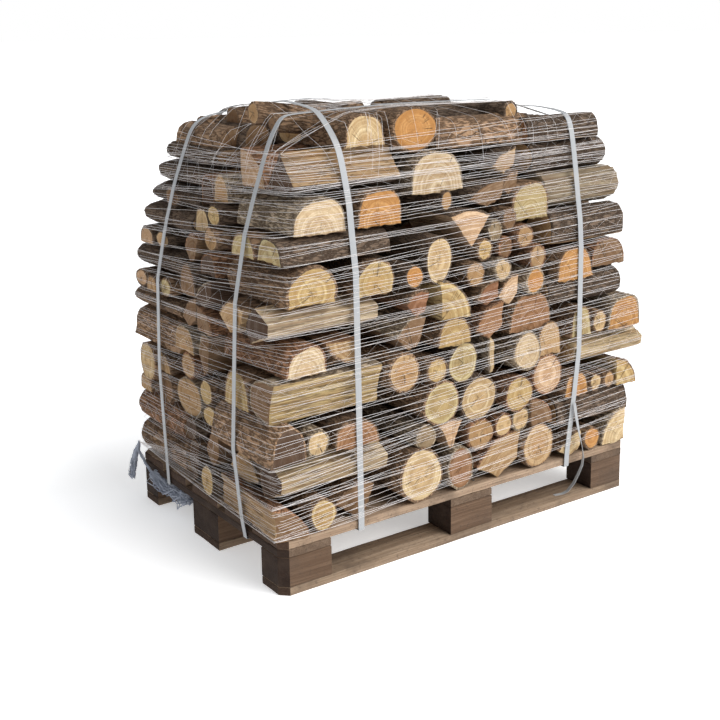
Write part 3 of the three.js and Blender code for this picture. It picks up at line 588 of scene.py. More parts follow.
def addLog(gatherer, seed, origin, across, along, width, height, length, cut, endTone, sideTone=None,
           barkTone=None,
           heart=None, lift=0.0):
    # one log: origin is the middle of its base at the near end; sizes in metres
    rng = random.Random(seed)
    grid = np.random.default_rng(seed)
    outline = logOutline(cut, rng)
    flags = [arc for x, y, arc in outline]
    shape = np.array([(x, y) for x, y, arc in outline])
    low, high = shape.min(0), shape.max(0)
    scale = np.array([width, height]) / (high - low)
    pith = np.array([-(low[0] + high[0]) / 2, -low[1]]) * scale
    shape = shape * scale + pith
    meanScale = scale.mean()
    after, before = np.roll(shape, -1, 0), np.roll(shape, 1, 0)
    tangent = after - before
    tangent /= np.maximum(np.linalg.norm(tangent, axis=1, keepdims=True), 1e-9)
    outward = np.stack([tangent[:, 1], -tangent[:, 0]], 1)
    middle = shape.mean(0)
    n, rows = len(shape), logMake["sections"]
    arcs = np.array(flags)
    bumps = smoothNoise(grid, rows, n)
    depth = np.where(arcs, logMake["barkDepth"], logMake["splinterDepth"])
    knotAt, knotRow = rng.randrange(n), rng.uniform(2, rows - 2)
    knotSize = rng.choice([0, 0, 0.004, 0.007]) * (1 if flags[knotAt] else 0.4)
    lengthShare = np.array([0, 0.004] + [i / (rows - 3) for i in range(1, rows - 3)] + [0.996, 1.0])
    bendX, bendY = rng.uniform(-1, 1) * logMake["bend"], rng.uniform(-0.4, 0.6) * logMake["bend"]
    taper = rng.uniform(-0.05, 0.03)
    points, places, ringStart = [], [], []
    across, along = np.array(across, float), np.array(along, float)
    up = np.array((0.0, 0.0, 1.0))
    origin = np.array(origin, float)
    offset = (seed % 97) * 0.61

    def place(flat, w):
        ring = (flat - pith) / scale * meanScale
        return np.column_stack([ring, np.full(len(flat), w + offset)])

    def world(flat, w):
        w = np.broadcast_to(w, len(flat))
        return origin + np.outer(flat[:, 0], across) + np.outer(flat[:, 1], up) + np.outer(w, along) \
            + np.outer(w / length * lift, up)

    for row, share in enumerate(lengthShare):
        w = share * length
        size = 1 + taper * share
        edge = 0.35 if row in (0, rows - 1) else (0.7 if row in (1, rows - 2) else 1.0)
        spin = np.minimum(np.abs(np.arange(n) - knotAt), n - np.abs(np.arange(n) - knotAt))
        knot = knotSize * np.exp(-(spin / 2.2) ** 2 - ((row - knotRow) / 0.9) ** 2)
        push = bumps[row] * depth * edge + knot
        if row in (0, rows - 1):
            push = push - 0.0008
        flat = middle + (shape - middle) * size + outward * push[:, None]
        flat = flat + np.array([bendX, bendY]) * math.sin(math.pi * share)
        ringStart.append(sum(len(p) for p in points))
        points.append(world(flat, w))
        places.append(place(flat, w))
        if row in (0, rows - 1):
            thin = np.where(arcs, logMake["barkThickness"] * rng.uniform(0.7, 1.3), 0.0006)
            core = flat - outward * thin[:, None]
            step = 0.0007 if row == 0 else -0.0007
            endRing = (world(core, w - step * 0.6), place(core, w))
            hub = core.mean(0, keepdims=True)
            endHub = (world(hub, w - step * 0.6), place(hub, w))
            if row == 0:
                nearEnd = (endRing, endHub)
            else:
                farEnd = (endRing, endHub)
    faces, slots, colours = [], [], []
    heart = rng.uniform(0.1, 0.7) if heart is None else heart
    def jitter(tone, amount):
        share = 1 + rng.uniform(-amount, amount)
        return tuple(min(1, c * share) for c in tone)

    endShade = toLinear(jitter(woodTones[endTone], 0.04)) + (heart,)
    sideShade = toLinear(jitter(woodTones[sideTone or endTone], 0.05)) + (heart,)
    barkShade = toLinear(jitter(barkTones[barkTone or rng.choice(["umber", "ash", "russet", "umber",
            "night"])], 0.08)) + (heart,)
    for row in range(rows - 1):
        a, b = ringStart[row], ringStart[row + 1]
        for i in range(n):
            j = (i + 1) % n
            faces.append((a + i, a + j, b + j, b + i))
            isBark = flags[i] or flags[j]
            slots.append(2 if isBark else 1)
            colours.append(barkShade if isBark else sideShade)
    total = sum(len(p) for p in points)
    for (ring, hub), start, facing in ((nearEnd, ringStart[0], 1), (farEnd, ringStart[-1], -1)):
        points += [ring[0], hub[0]]
        places += [ring[1], hub[1]]
        for i in range(n):
            j = (i + 1) % n
            rim = (start + i, total + i, total + j, start + j)
            fan = (total + n, total + j, total + i)
            faces += [rim, fan] if facing > 0 else [rim[::-1], fan[::-1]]
            isBark = flags[i] or flags[j]
            slots += [2 if isBark else 0, 0]
            colours += [barkShade if isBark else endShade, endShade]
        total += n + 1
    gatherer.add(np.concatenate(points), faces, slots, np.concatenate(places), colours)


logMaterials = ["end", "split", "bark"]
acrossOf = {"y": (1, 0, 0), "x": (0, -1, 0)}
alongOf = {"y": (0, 1, 0), "x": (1, 0, 0)}
woodPoints = []


def finishLogs(gatherer, name, nodes):
    piece = gatherer.build(name, logMaterials)
    settle(piece, nodes)
    woodPoints.append(gatherer.allPoints())
    return piece


def turned(vector, degrees):
    a = math.radians(degrees)
    x, y, z = vector
    return (x * math.cos(a) - y * math.sin(a), x * math.sin(a) + y * math.cos(a), z)


# near corner crib: lie, cut, end tone, side tone, bark
cribLook = [
    ("y", "quarter", "brown", "tan", "russet"), ("y", "round", "yellow", None, "umber"),
    ("y", "split", "brown", "brown", "umber"),
    ("x", "splitBack", "dark", "pale", "umber"), ("x", "ridge", "tan", "tan", "ash"),
    ("y", "half", "dark", "brown", "umber"), ("y", "round", "pale", None, "ash"),
    ("y", "half", "rust", "rust", "umber"),
    ("x", "halfBack", "brown", "yellow", "ash"), ("x", "half", "yellow", "tan", "umber"),
    ("y", "half", "cream", "tan", "russet"), ("y", "quarterDown", "tan", "rust", "umber"),
    ("x", "splitBack", "dark", "cream", "night"), ("x", "split", "tan", "tan", "umber"),
    ("y", "deep", "yellow", "tan", "umber"), ("y", "deep", "yellow", "tan", "umber"),
    ("x", "half", "green", "brown", "night"), ("x", "half", "green", "brown", "umber"),
    ("y", "half", "cream", "pink", "ash"), ("y", "half", "orange", "tan", "umber"),
    ("x", "ridge", "dark", "tan", "night"), ("x", "quarter", "pink", "rust", "russet"),
]


cribTurns = {1: -4.0, 11: 1.5, 15: -1.5}


def buildCrib():
    for i, (lie, cut, endTone, sideTone, barkTone) in enumerate(cribLook):
        name = f"crib_log_{i + 1:02d}"
        low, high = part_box(name)
        size = high - low
        gatherer = MeshGatherer()
        if lie == "y":
            origin, width, length = ((low.x + high.x) / 2, low.y, low.z), size.x, size.y
        else:
            origin, width, length = (low.x, (low.y + high.y) / 2, low.z), size.y, size.x
        turn = cribTurns.get(i + 1, 0)
        addLog(gatherer, 100 + i, origin, turned(acrossOf[lie], turn), turned(alongOf[lie], turn), width,
               size.z,
               length, cut, endTone, sideTone, barkTone)
        finishLogs(gatherer, f"corner_log_{i + 1:02d}", [name])


# middle of the long front: across, base, width, height, cut, tone (millimetres)
frontEnds = [
    (-176, 145, 132, 138, "round", "pale"), (-40, 146, 84, 114, "round", "rust"),
    (100, 146, 146, 114, "slab", "tan"),
    (234, 146, 108, 120, "round", "tan"), (-155, 284, 64, 66, "round", "grey"),
    (-72, 262, 74, 82, "wedgeUp", "pink"),
    (24, 246, 88, 82, "round", "tan"), (113, 262, 60, 62, "round", "pale"),
    (176, 262, 64, 66, "round", "pale"),
    (248, 270, 74, 76, "quarter", "brown"), (-104, 342, 112, 112, "round", "green"),
    (24, 328, 118, 116, "round", "pale"),
    (166, 326, 94, 94, "round", "yellow"), (270, 352, 104, 108, "round", "pink"),
    (-222, 452, 92, 100, "round", "tan"),
    (-122, 458, 66, 68, "round", "yellow"), (-36, 444, 94, 104, "round", "green"),
    (70, 448, 20, 100, "plank", "pale"),
    (190, 436, 96, 106, "round", "cream"), (274, 464, 84, 92, "half", "tan"),
    (-196, 560, 84, 84, "split", "brown"),
    (-66, 550, 104, 72, "half", "yellow"), (60, 552, 90, 88, "slab", "rust"),
    (210, 546, 140, 96, "half", "rust"),
    (-62, 622, 96, 100, "quarter", "yellow"), (55, 640, 70, 60, "slab", "red"),
    (127, 630, 66, 74, "slab", "pink"),
    (216, 648, 64, 70, "round", "orange"), (-178, 646, 66, 64, "split", "red"),
    (14, 694, 62, 62, "round", "tan"),
    (106, 698, 58, 60, "round", "pale"), (240, 706, 60, 72, "round", "tan"),
    (-192, 716, 56, 58, "round", "orange"),
    (-112, 720, 84, 116, "round", "pale"), (50, 756, 54, 58, "round", "yellow"),
    (131, 754, 48, 58, "round", "brown"),
    (204, 776, 62, 60, "round", "tan"), (4, 800, 136, 94, "wedgeUp", "pink"),
    (104, 804, 52, 56, "round", "grey"),
    (154, 830, 48, 54, "round", "brown"), (246, 850, 144, 96, "half", "green"),
    (-70, 898, 42, 50, "round", "tan"),
    (76, 898, 130, 66, "slab", "brown"), (180, 922, 70, 60, "slab", "brown"),
    (-96, 946, 190, 102, "half", "cream"),
    (170, 980, 92, 60, "slab", "tan"),
]
# middle of the short left side
leftEnds = [
    (-34, 145, 70, 88, "round", "yellow"), (48, 160, 62, 120, "split", "dark"),
    (-52, 232, 74, 112, "slab", "brown"),
    (44, 280, 60, 62, "round", "dark"), (-52, 345, 72, 56, "round", "yellow"),
    (72, 338, 146, 108, "round", "tan"),
    (-50, 402, 68, 70, "round", "yellow"), (60, 446, 80, 74, "round", "tan"),
    (-30, 474, 60, 116, "split", "brown"),
    (66, 522, 110, 70, "half", "tan"), (-46, 592, 84, 70, "quarter", "brown"),
    (44, 592, 84, 84, "slab", "brown"),
    (-48, 664, 88, 76, "slab", "dark"), (52, 678, 90, 84, "half", "brown"),
    (-44, 742, 90, 60, "half", "dark"),
    (52, 764, 76, 78, "split", "brown"), (-50, 804, 76, 62, "round", "tan"),
    (40, 844, 92, 66, "half", "pale"),
    (-46, 866, 80, 58, "round", "yellow"), (-42, 926, 92, 74, "half", "tan"),
    (52, 912, 84, 80, "half", "dark"),
]
fillHeights = [95, 86, 103, 80, 99, 91, 77, 97, 85, 92]
fillCuts = ["half", "round", "quarter", "split"]
fillTones = ["pale", "tan", "yellow", "cream", "orange", "tan", "green", "brown", "pink", "rust"]


def filledFace(first, last, logsAcross):
    ends, base = [], 145
    for row, height in enumerate(fillHeights):
        count = logsAcross + row % 2
        pitch = (last - first) / count
        for i in range(count):
            odd = (i + row) % 2
            ends.append((first + (i + 0.5) * pitch, base, pitch * (0.84 + 0.12 * odd),
                         height * (0.9 + 0.08 * odd),
                         fillCuts[(i * 3 + row) % 4], fillTones[(i * 7 + row * 3) % 10]))
        base += height
    return ends


def buildFace(side, ends, seed, pieceName, node, bands):
    sign = -1 if side in ("front", "left") else 1
    lie = "y" if side in ("front", "back") else "x"
    edge = 400 if lie == "y" else 600
    gatherers = [MeshGatherer() for _ in range(bands)]
    used = set()
    for i, (across, base, width, height, cut, tone) in enumerate(ends):
        if side == "front":
            base = max(145, base - height * (logMake["packing"] - 1) / 2)
            width, height = width * logMake["packing"], height * logMake["packing"]
        out = 6 - 5 * (i % 3) + wobble(i, 0.8)
        length = 280 - 18 * ((i * 7) % 4)
        face = edge - inset(side, base + height / 2) + out
        start = -face if sign < 0 else face - length
        squeeze = 1 - 0.3 * max(0.0, (base - 650) / 500)
        middle = across * squeeze + wobble(i, 1.3)
        x, y = (middle, start) if lie == "y" else (start, middle)
        origin = (x / 1000, y / 1000, (base + 1 + wobble(i + 0.5, 0.9)) / 1000)
        lane = min(bands - 1, int((across - min(e[0] for e in ends)) /
                                  (1 + max(e[0] for e in ends) - min(e[0] for e in ends)) * bands))
        used.add(lane)
        addLog(gatherers[lane], seed + i, origin, acrossOf[lie], alongOf[lie], width * squeeze / 1000,
               height / 1000,
               length / 1000, cut, tone)
    for lane in sorted(used):
        finishLogs(gatherers[lane], f"{pieceName}_{lane + 1}", [node])


# right front crib: lie, across, base, width, height, cut, out, end tone, side tone, bark
rightCrib = [
    ("y", 366, 145, 90, 72, "slab", 0, "pale", "pale", "umber"),
    ("y", 452, 145, 68, 70, "round", 2, "orange", None, "umber"),
    ("y", 545, 145, 96, 104, "quarterLeft", 0, "pale", "pale", "ash"),
    ("x", -346, 240, 104, 86, "half", -2, "tan", "tan", "night"),
    ("y", 384, 322, 92, 70, "half", 4, "orange", "rust", "umber"),
    ("y", 464, 322, 46, 50, "round", 0, "pale", None, "umber"),
    ("y", 518, 322, 42, 48, "round", 0, "tan", None, "umber"),
    ("y", 590, 318, 86, 84, "quarter", 2, "yellow", "yellow", "umber"),
    ("x", -350, 400, 104, 94, "splitBack", 52, "tan", "pale", "umber"),
    ("y", 402, 494, 80, 90, "half", 0, "green", "tan", "umber"),
    ("y", 474, 494, 54, 66, "round", 0, "pale", None, "umber"),
    ("y", 570, 490, 132, 100, "half", 2, "orange", "orange", "ash"),
    ("x", -344, 588, 110, 92, "round", -44, "tan", None, "night"),
    ("y", 370, 662, 138, 96, "half", 4, "orange", "orange", "umber"),
    ("y", 502, 688, 130, 76, "half", 2, "brown", "brown", "russet"),
    ("x", -336, 768, 116, 92, "half", -12, "tan", "tan", "night"),
    ("x", -320, 868, 112, 92, "peeled", 2, "grey", "grey", "ash"),
    ("x", -300, 958, 110, 92, "round", 0, "tan", None, "night"),
    ("x", -226, 240, 104, 84, "half", -8, "tan", "tan", "umber"),
    ("x", -230, 400, 104, 92, "round", -10, "tan", None, "umber"),
    ("x", -224, 588, 106, 92, "half", -20, "tan", "tan", "umber"),
    ("x", -212, 768, 108, 96, "round", -14, "tan", None, "umber"),
    ("x", -206, 860, 104, 104, "half", -6, "tan", "tan", "umber"),
    ("x", -196, 962, 100, 86, "round", -10, "tan", None, "umber"),
]


# far left crib, mostly bark sides to the left with a few ends between
farLeftCrib = [
    ("y", -548, 145, 100, 96, "round", 4, "tan", None, "umber"),
    ("y", -436, 145, 100, 94, "half", 0, "pale", "tan", "umber"),
    ("y", -552, 242, 96, 94, "round", 2, "brown", None, "russet"),
    ("y", -440, 240, 104, 98, "quarter", -4, "tan", "tan", "umber"),
    ("x", 300, 384, 98, 114, "round", 10, "pale", "pale", "umber"),
    ("x", 206, 340, 84, 88, "round", 0, "brown", None, "umber"),
    ("x", 350, 340, 74, 48, "half", -6, "tan", "tan", "umber"),
    ("x", 206, 430, 80, 66, "quarter", 2, "tan", "tan", "umber"),
    ("y", -546, 500, 100, 82, "half", 6, "tan", "brown", "umber"),
    ("y", -438, 500, 106, 80, "round", 0, "yellow", None, "ash"),
    ("y", -542, 583, 98, 62, "halfOut", 4, "brown", "brown", "umber"),
    ("y", -440, 582, 106, 66, "half", -4, "pale", "tan", "umber"),
    ("x", 346, 650, 78, 52, "round", -4, "pink", None, "umber"),
    ("x", 262, 650, 70, 46, "half", 2, "tan", "tan", "umber"),
    ("x", 186, 650, 72, 50, "round", -2, "green", None, "umber"),
    ("y", -530, 704, 104, 68, "halfOut", 6, "tan", "brown", "night"),
    ("y", -426, 704, 104, 66, "half", 0, "yellow", "tan", "night"),
    ("x", 330, 774, 84, 48, "half", 0, "pink", "tan", "night"),
    ("x", 236, 774, 78, 46, "round", -4, "tan", None, "night"),
    ("y", -506, 824, 106, 62, "halfOut", 2, "tan", "brown", "night"),
    ("y", -396, 824, 104, 62, "half", 0, "tan", "tan", "night"),
    ("y", -486, 888, 102, 50, "round", 4, "brown", None, "night"),
    ("y", -380, 888, 100, 50, "half", 0, "tan", "tan", "night"),
    ("x", 232, 884, 84, 56, "round", -6, "brown", None, "night"),
    ("y", -470, 940, 104, 62, "halfOut", 4, "tan", "brown", "night"),
    ("y", -364, 940, 100, 62, "half", 0, "tan", "tan", "night"),
    ("y", -452, 1004, 104, 52, "round", 4, "brown", None, "night"),
    ("y", -346, 1004, 100, 48, "half", 0, "tan", "tan", "moss"),
]


def filledCrib(signX, signY):
    logs, base = [], 145
    for row, height in enumerate(fillHeights):
        lie = "y" if row % 2 == 0 else "x"
        outer, inner = (600, 318) if lie == "y" else (400, 128)
        side = ("left" if signX < 0 else "right") if lie == "y" else "back"
        middleZ = base + height / 2
        edge = outer - inset(side, middleZ) - 4
        low = inner - inset(side, middleZ) * 0.6
        middle = (edge + low) / 2
        sign = signX if lie == "y" else signY
        for i in range(2):
            across = sign * ((edge + middle) / 2 if i == 0 else (low + middle) / 2)
            logs.append((lie, across, base, (edge - low) / 2 - 6, height, fillCuts[(row + 2 * i) % 4],
                         3 - 4 * ((row + i) % 3), fillTones[(row * 3 + i * 5) % 10],
                         fillTones[(row + i) % 4], None))
        base += height - 1
    return logs


def buildOuterCrib(signX, signY, logs, seed, pieceName, node):
    gatherers = [MeshGatherer(), MeshGatherer()]
    for i, (lie, across, base, width, height, cut, out, endTone, sideTone, barkTone) in enumerate(logs):
        middle = base + height / 2
        length = 280 if lie == "x" else 290
        faceX = 600 - inset("left" if signX < 0 else "right", middle) + out + wobble(i, 0.9)
        faceY = 400 - inset("front" if signY < 0 else "back", middle) + out + wobble(i, 0.9)
        startX = -faceX if signX < 0 else faceX - length
        startY = -faceY if signY < 0 else faceY - length
        x, y = (across + wobble(i, 1.1), startY) if lie == "y" else (startX, across + wobble(i, 1.1))
        origin = (x / 1000, y / 1000, (base + 1 + wobble(i, 0.8)) / 1000)
        addLog(gatherers[0 if lie == "y" else 1], seed + i, origin, acrossOf[lie], alongOf[lie], width / 1000,
               height / 1000, length / 1000, cut, endTone, sideTone, barkTone)
    for gatherer, label in zip(gatherers, ("inward", "lengthwise")):
        finishLogs(gatherer, f"{pieceName}_{label}", [node])


# loose wood on top: lie, x, y, base, width, height, length, cut, tone, bark, turn
topLogs = [
    ("x", -62, -276, 1050, 104, 76, 330, "half", "tan", "umber", 0),
    ("x", 150, -262, 1056, 92, 60, 200, "round", "tan", "night", 2),
    ("x", 10, -176, 1058, 116, 78, 300, "half", "tan", "night", -3),
    ("x", -40, -80, 1052, 92, 76, 320, "round", "tan", "umber", 3),
    ("x", -50, 20, 1054, 96, 86, 330, "round", "brown", "night", -2),
    ("x", 40, 118, 1052, 108, 84, 300, "half", "tan", "ash", 4),
    ("x", -20, 214, 1052, 92, 70, 310, "round", "tan", "umber", 0),
    ("y", -380, 30, 1052, 86, 64, 240, "half", "brown", "night", 2),
    ("y", -300, -8, 1054, 84, 70, 270, "round", "tan", "night", -3),
    ("y", -218, 0, 1076, 104, 74, 250, "half", "brown", "umber", 4),
    ("y", -122, -10, 1068, 92, 86, 260, "round", "brown", "night", -2),
    ("x", 70, -60, 1082, 96, 62, 270, "half", "tan", "night", -5),
    ("x", -260, 70, 1110, 70, 44, 250, "half", "tan", "umber", 6),
    ("x", 210, -190, 1052, 88, 64, 150, "half", "tan", "umber", 0),
    ("x", 236, -308, 1052, 84, 62, 262, "half", "rust", "night", 0),
    ("y", -440, 60, 1053, 84, 56, 250, "half", "brown", "umber", 0),
    ("x", -430, 250, 1066, 84, 60, 250, "round", "brown", "umber", 0),
    ("x", -10, 4, 1120, 82, 42, 230, "half", "tan", "night", -2),
    ("x", -400, 130, 1110, 70, 44, 200, "half", "brown", "umber", 0),
    ("x", 220, -70, 1052, 88, 60, 130, "round", "tan", "umber", 0),
    ("x", 235, 60, 1052, 90, 58, 110, "half", "tan", "umber", 0),
]
# each stands for one named log: lie, x, y, base, width, height, length, cut, tone, bark,
# turn, rise to the far end
looseLooks = {
    "top_log_1": [("y", -286, -330, 1077, 118, 78, 204, "half", "pale", "umber", 0, -4)],
    "top_log_2": [("y", -134, -334, 1050, 142, 116, 290, "round", "orange", "umber", 0, -14)],
    "top_log_3": [("y", 215, -300, 1106, 52, 54, 280, "round", "tan", "night", 3, -26)],
    "top_log_4": [("x", -462, -93, 1124, 58, 60, 258, "round", "tan", "umber", 0, -40),
                  ("x", -457, -176, 1112, 40, 42, 200, "round", "brown", "umber", 0, -22)],
}


def buildTop():
    gatherer = MeshGatherer()
    for i, (lie, x, y, base, width, height, length, cut, tone, barkTone, turn) in enumerate(topLogs):
        addLog(gatherer, 700 + i, (x / 1000, y / 1000, base / 1000), turned(acrossOf[lie], turn),
               turned(alongOf[lie], turn),
               width / 1000, height / 1000, length / 1000, cut, tone, "tan", barkTone)
    finishLogs(gatherer, "top_pile", ["top_layer"])
    for k, (node, parts) in enumerate(looseLooks.items()):
        gatherer = MeshGatherer()
        for j, (lie, x, y, base, width, height, length, cut, tone, barkTone, turn, rise) in enumerate(parts):
            addLog(gatherer, 760 + 5 * k + j, (x / 1000, y / 1000, base / 1000), turned(acrossOf[lie], turn),
                   turned(alongOf[lie], turn), width / 1000, height / 1000, length / 1000, cut, tone,
                   None, barkTone,
                   heart=0.5, lift=rise / 1000)
        finishLogs(gatherer, f"loose_{node}", [node])


buildCrib()
buildFace("front", frontEnds, 200, "front_ends", "front_middle_stack", 3)
buildFace("left", leftEnds, 260, "left_ends", "left_middle_stack", 1)
buildFace("back", filledFace(-285, 285, 4), 300, "back_ends", "back_middle_stack", 2)
buildFace("right", filledFace(-94, 94, 2), 360, "right_ends", "right_middle_stack", 1)
buildOuterCrib(1, -1, rightCrib, 400, "right_crib", "front_right_crib")
buildOuterCrib(-1, 1, farLeftCrib, 440, "far_left_crib", "back_left_crib")
buildOuterCrib(1, 1, filledCrib(1, 1), 480, "far_right_crib", "back_right_crib")
buildTop()
wood = np.concatenate(woodPoints)
print("logs laid:", len(wood), "points")


# Pallet
palletTones = {
    "board": (0.70, 0.61, 0.52), "block": (0.43, 0.345, 0.275), "cross": (0.50, 0.42, 0.35),
    "bottom": (0.62, 0.54, 0.455),
}
# The first entry darkens every pallet face that points along x: partly the darker end grain where the grain
# runs along x, partly painted shade for the left side, which lies in shade
palletMake = {"endGrainAndPaintedShade": (0.46, 0.40, 0.37), "cornerCut": 0.022, "edgeRound": 0.0022, "step": 0.045,
              "unevenness": 0.0012}


def addPlank(gatherer, low, high, tone, seed, grainAxis):
    rng = random.Random(seed)
    corners = []
    for x, y, sx, sy, even in ((low.x, low.y, 1, 1, 1), (high.x, low.y, -1, 1, 0),
                               (high.x, high.y, -1, -1, 1), (low.x, high.y, 1, -1, 0)):
        cut = palletMake["cornerCut"]
        if abs(x) > 0.599 and abs(y) > 0.399:
            pair = [(x, y + sy * cut), (x + sx * cut, y)]
            corners += pair if even else pair[::-1]
        else:
            corners.append((x, y))
    ring = []
    for i, (ax, ay) in enumerate(corners):
        bx, by = corners[(i + 1) % len(corners)]
        steps = max(1, round(math.dist((ax, ay), (bx, by)) / palletMake["step"]))
        ring += [(ax + (bx - ax) * s / steps, ay + (by - ay) * s / steps) for s in range(steps)]
    ring = np.array(ring)
    centre = ring.mean(0)
    tangent = np.roll(ring, -1, 0) - np.roll(ring, 1, 0)
    tangent /= np.linalg.norm(tangent, axis=1, keepdims=True)
    outward = np.stack([tangent[:, 1], -tangent[:, 0]], 1)
    n = len(ring)
    shallow = np.array([rng.uniform(0, 1) for _ in range(n)]) * palletMake["unevenness"]
    soft = palletMake["edgeRound"]
    tall = high.z - low.z
    levels = [(0, soft), (soft * 0.4, soft * 0.3), (soft, 0), (tall / 2, 0), (tall - soft, 0),
              (tall - soft * 0.4, soft * 0.3), (tall, soft)]
    points = []
    for k, (z, back) in enumerate(levels):
        chip = np.array([max(0, rng.gauss(-0.6, 1)) for _ in range(n)]) * 0.0012 * (k in (1, 5))
        flat = ring - outward * (shallow + back + chip)[:, None]
        points.append(np.column_stack([flat, np.full(n, low.z + z)]))
    points = np.concatenate(points)
    faces = []
    for k in range(len(levels) - 1):
        for i in range(n):
            j = (i + 1) % n
            faces.append((k * n + i, k * n + j, (k + 1) * n + j, (k + 1) * n + i))
    faces.append(tuple(range(n))[::-1])
    faces.append(tuple((len(levels) - 1) * n + i for i in range(n)))
    shiftA, shiftB = rng.uniform(-0.05, 0.05), rng.uniform(0.03, 0.08)
    relative = points - np.array([centre[0], centre[1], low.z])
    order = (1, 2, 0) if grainAxis == "x" else (0, 2, 1)
    places = relative[:, order] + np.array([shiftA, shiftB, seed * 1.7])
    share = rng.uniform(0.92, 1.06)
    tone = tuple(c * share for c in tone)
    shade = toLinear(tone) + (0.2,)
    endShade = toLinear(tuple(c * d for c, d in zip(tone, palletMake["endGrainAndPaintedShade"]))) + (0.2,)
    colours = []
    for face in faces:
        corners = points[list(face[:3])]
        normal = np.cross(corners[1] - corners[0], corners[2] - corners[1])
        # faces pointing along x take the darker colour: darker end grain and painted shade of the shaded left
        # side
        facesAlongX = abs(normal[0]) > 0.6 * np.linalg.norm(normal)
        colours.append(endShade if facesAlongX else shade)
    gatherer.add(points, faces, [0] * len(faces), places, colours)


def addNail(gatherer, x, y, z, seed, down=False):
    sides, rings = 10, [(0.0052, 0.0), (0.0048, 0.0006), (0.0028, 0.0010)]
    sign = -1 if down else 1
    points = [(x + r * math.cos(6.2832 * i / sides), y + r * math.sin(6.2832 * i / sides),
               z + sign * h) for r, h in rings for i in range(sides)]
    points.append((x, y, z + sign * 0.0011))
    faces = []
    for k in range(2):
        for i in range(sides):
            j = (i + 1) % sides
            faces.append((k * sides + i, k * sides + j, (k + 1) * sides + j, (k + 1) * sides + i)[::sign])
    faces += [(2 * sides + i, 2 * sides + (i + 1) % sides, 3 * sides)[::sign] for i in range(sides)]
    faces.append(tuple(range(sides))[::-sign])
    gatherer.add(points, faces, [0] * len(faces), np.array(points) + seed,
                 [(0.3, 0.3, 0.3, 0.2)] * len(faces))


def buildPallet():
    rows, columns = ("front", "middle", "back"), ("left", "centre", "right")
    bottom = MeshGatherer()
    for i, row in enumerate(rows):
        addPlank(bottom, *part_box(f"bottom_board_{row}"), palletTones["bottom"], 11 + i, "x")
        for k, column in enumerate(columns):
            block = MeshGatherer()
            addPlank(block, *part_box(f"block_{row}_{column}"), palletTones["block"], 20 + 3 * i + k, "x")
            settle(block.build(f"pallet_block_{row}_{column}", ["pallet"]),
                   [f"block_{row}_{column}"])
    settle(bottom.build("pallet_bottom_boards", ["pallet"]),
           [f"bottom_board_{row}" for row in rows])
    for k, column in enumerate(columns):
        cross = MeshGatherer()
        addPlank(cross, *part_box(f"cross_board_{column}"), palletTones["cross"], 40 + k, "y")
        settle(cross.build(f"pallet_cross_{column}", ["pallet"]), [f"cross_board_{column}"])
    nails = MeshGatherer()
    for i in range(1, 6):
        deck = MeshGatherer()
        low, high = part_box(f"deck_board_{i}")
        addPlank(deck, low, high, palletTones["board"], 50 + i, "x")
        settle(deck.build(f"pallet_deck_{i}", ["pallet"]), [f"deck_board_{i}"])
        for x in (-0.56, -0.49, -0.02, 0.03, 0.49, 0.56):
            for y in (low.y + 0.03, high.y - 0.03):
                addNail(nails, x, y, high.z - 0.0004, i)
    for row in rows:
        low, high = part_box(f"bottom_board_{row}")
        for x in (-0.55, -0.49, -0.02, 0.03, 0.50, 0.55):
            addNail(nails, x, (low.y + high.y) / 2 + 0.02, low.z + 0.0012, 3, down=True)
    settle(nails.build("pallet_nails", ["nail"]), [])


buildPallet()
print("pallet built")


# Taut outlines
def hullOf(points):
    points = sorted(set(map(tuple, np.round(points, 5))))
    chains = []
    for order in (points, points[::-1]):
        chain = []
        for p in order:
            while len(chain) > 1 and (chain[-1][0] - chain[-2][0]) * (p[1] - chain[-2][1]) \
                    - (chain[-1][1] - chain[-2][1]) * (p[0] - chain[-2][0]) <= 0:
                chain.pop()
            chain.append(p)
        chains += chain[:-1]
    return np.array(chains)


def movedOut(hull, distance):
    ahead = np.roll(hull, -1, 0) - hull
    ahead /= np.linalg.norm(ahead, axis=1, keepdims=True)
    normal = np.stack([ahead[:, 1], -ahead[:, 0]], 1)
    previous = np.roll(normal, 1, 0)
    scale = distance / np.maximum(0.35, 1 + (normal * previous).sum(1))
    return hull + (normal + previous) * scale[:, None]


def resampled(outline, step, closed=True):
    loop = np.vstack([outline, outline[:1]]) if closed else outline
    lengths = np.concatenate([[0], np.cumsum(np.linalg.norm(np.diff(loop, axis=0), axis=1))])
    count = max(8, int(lengths[-1] / step))
    marks = np.linspace(0, lengths[-1], count, endpoint=not closed)
    return np.column_stack([np.interp(marks, lengths, loop[:, k]) for k in range(loop.shape[1])])


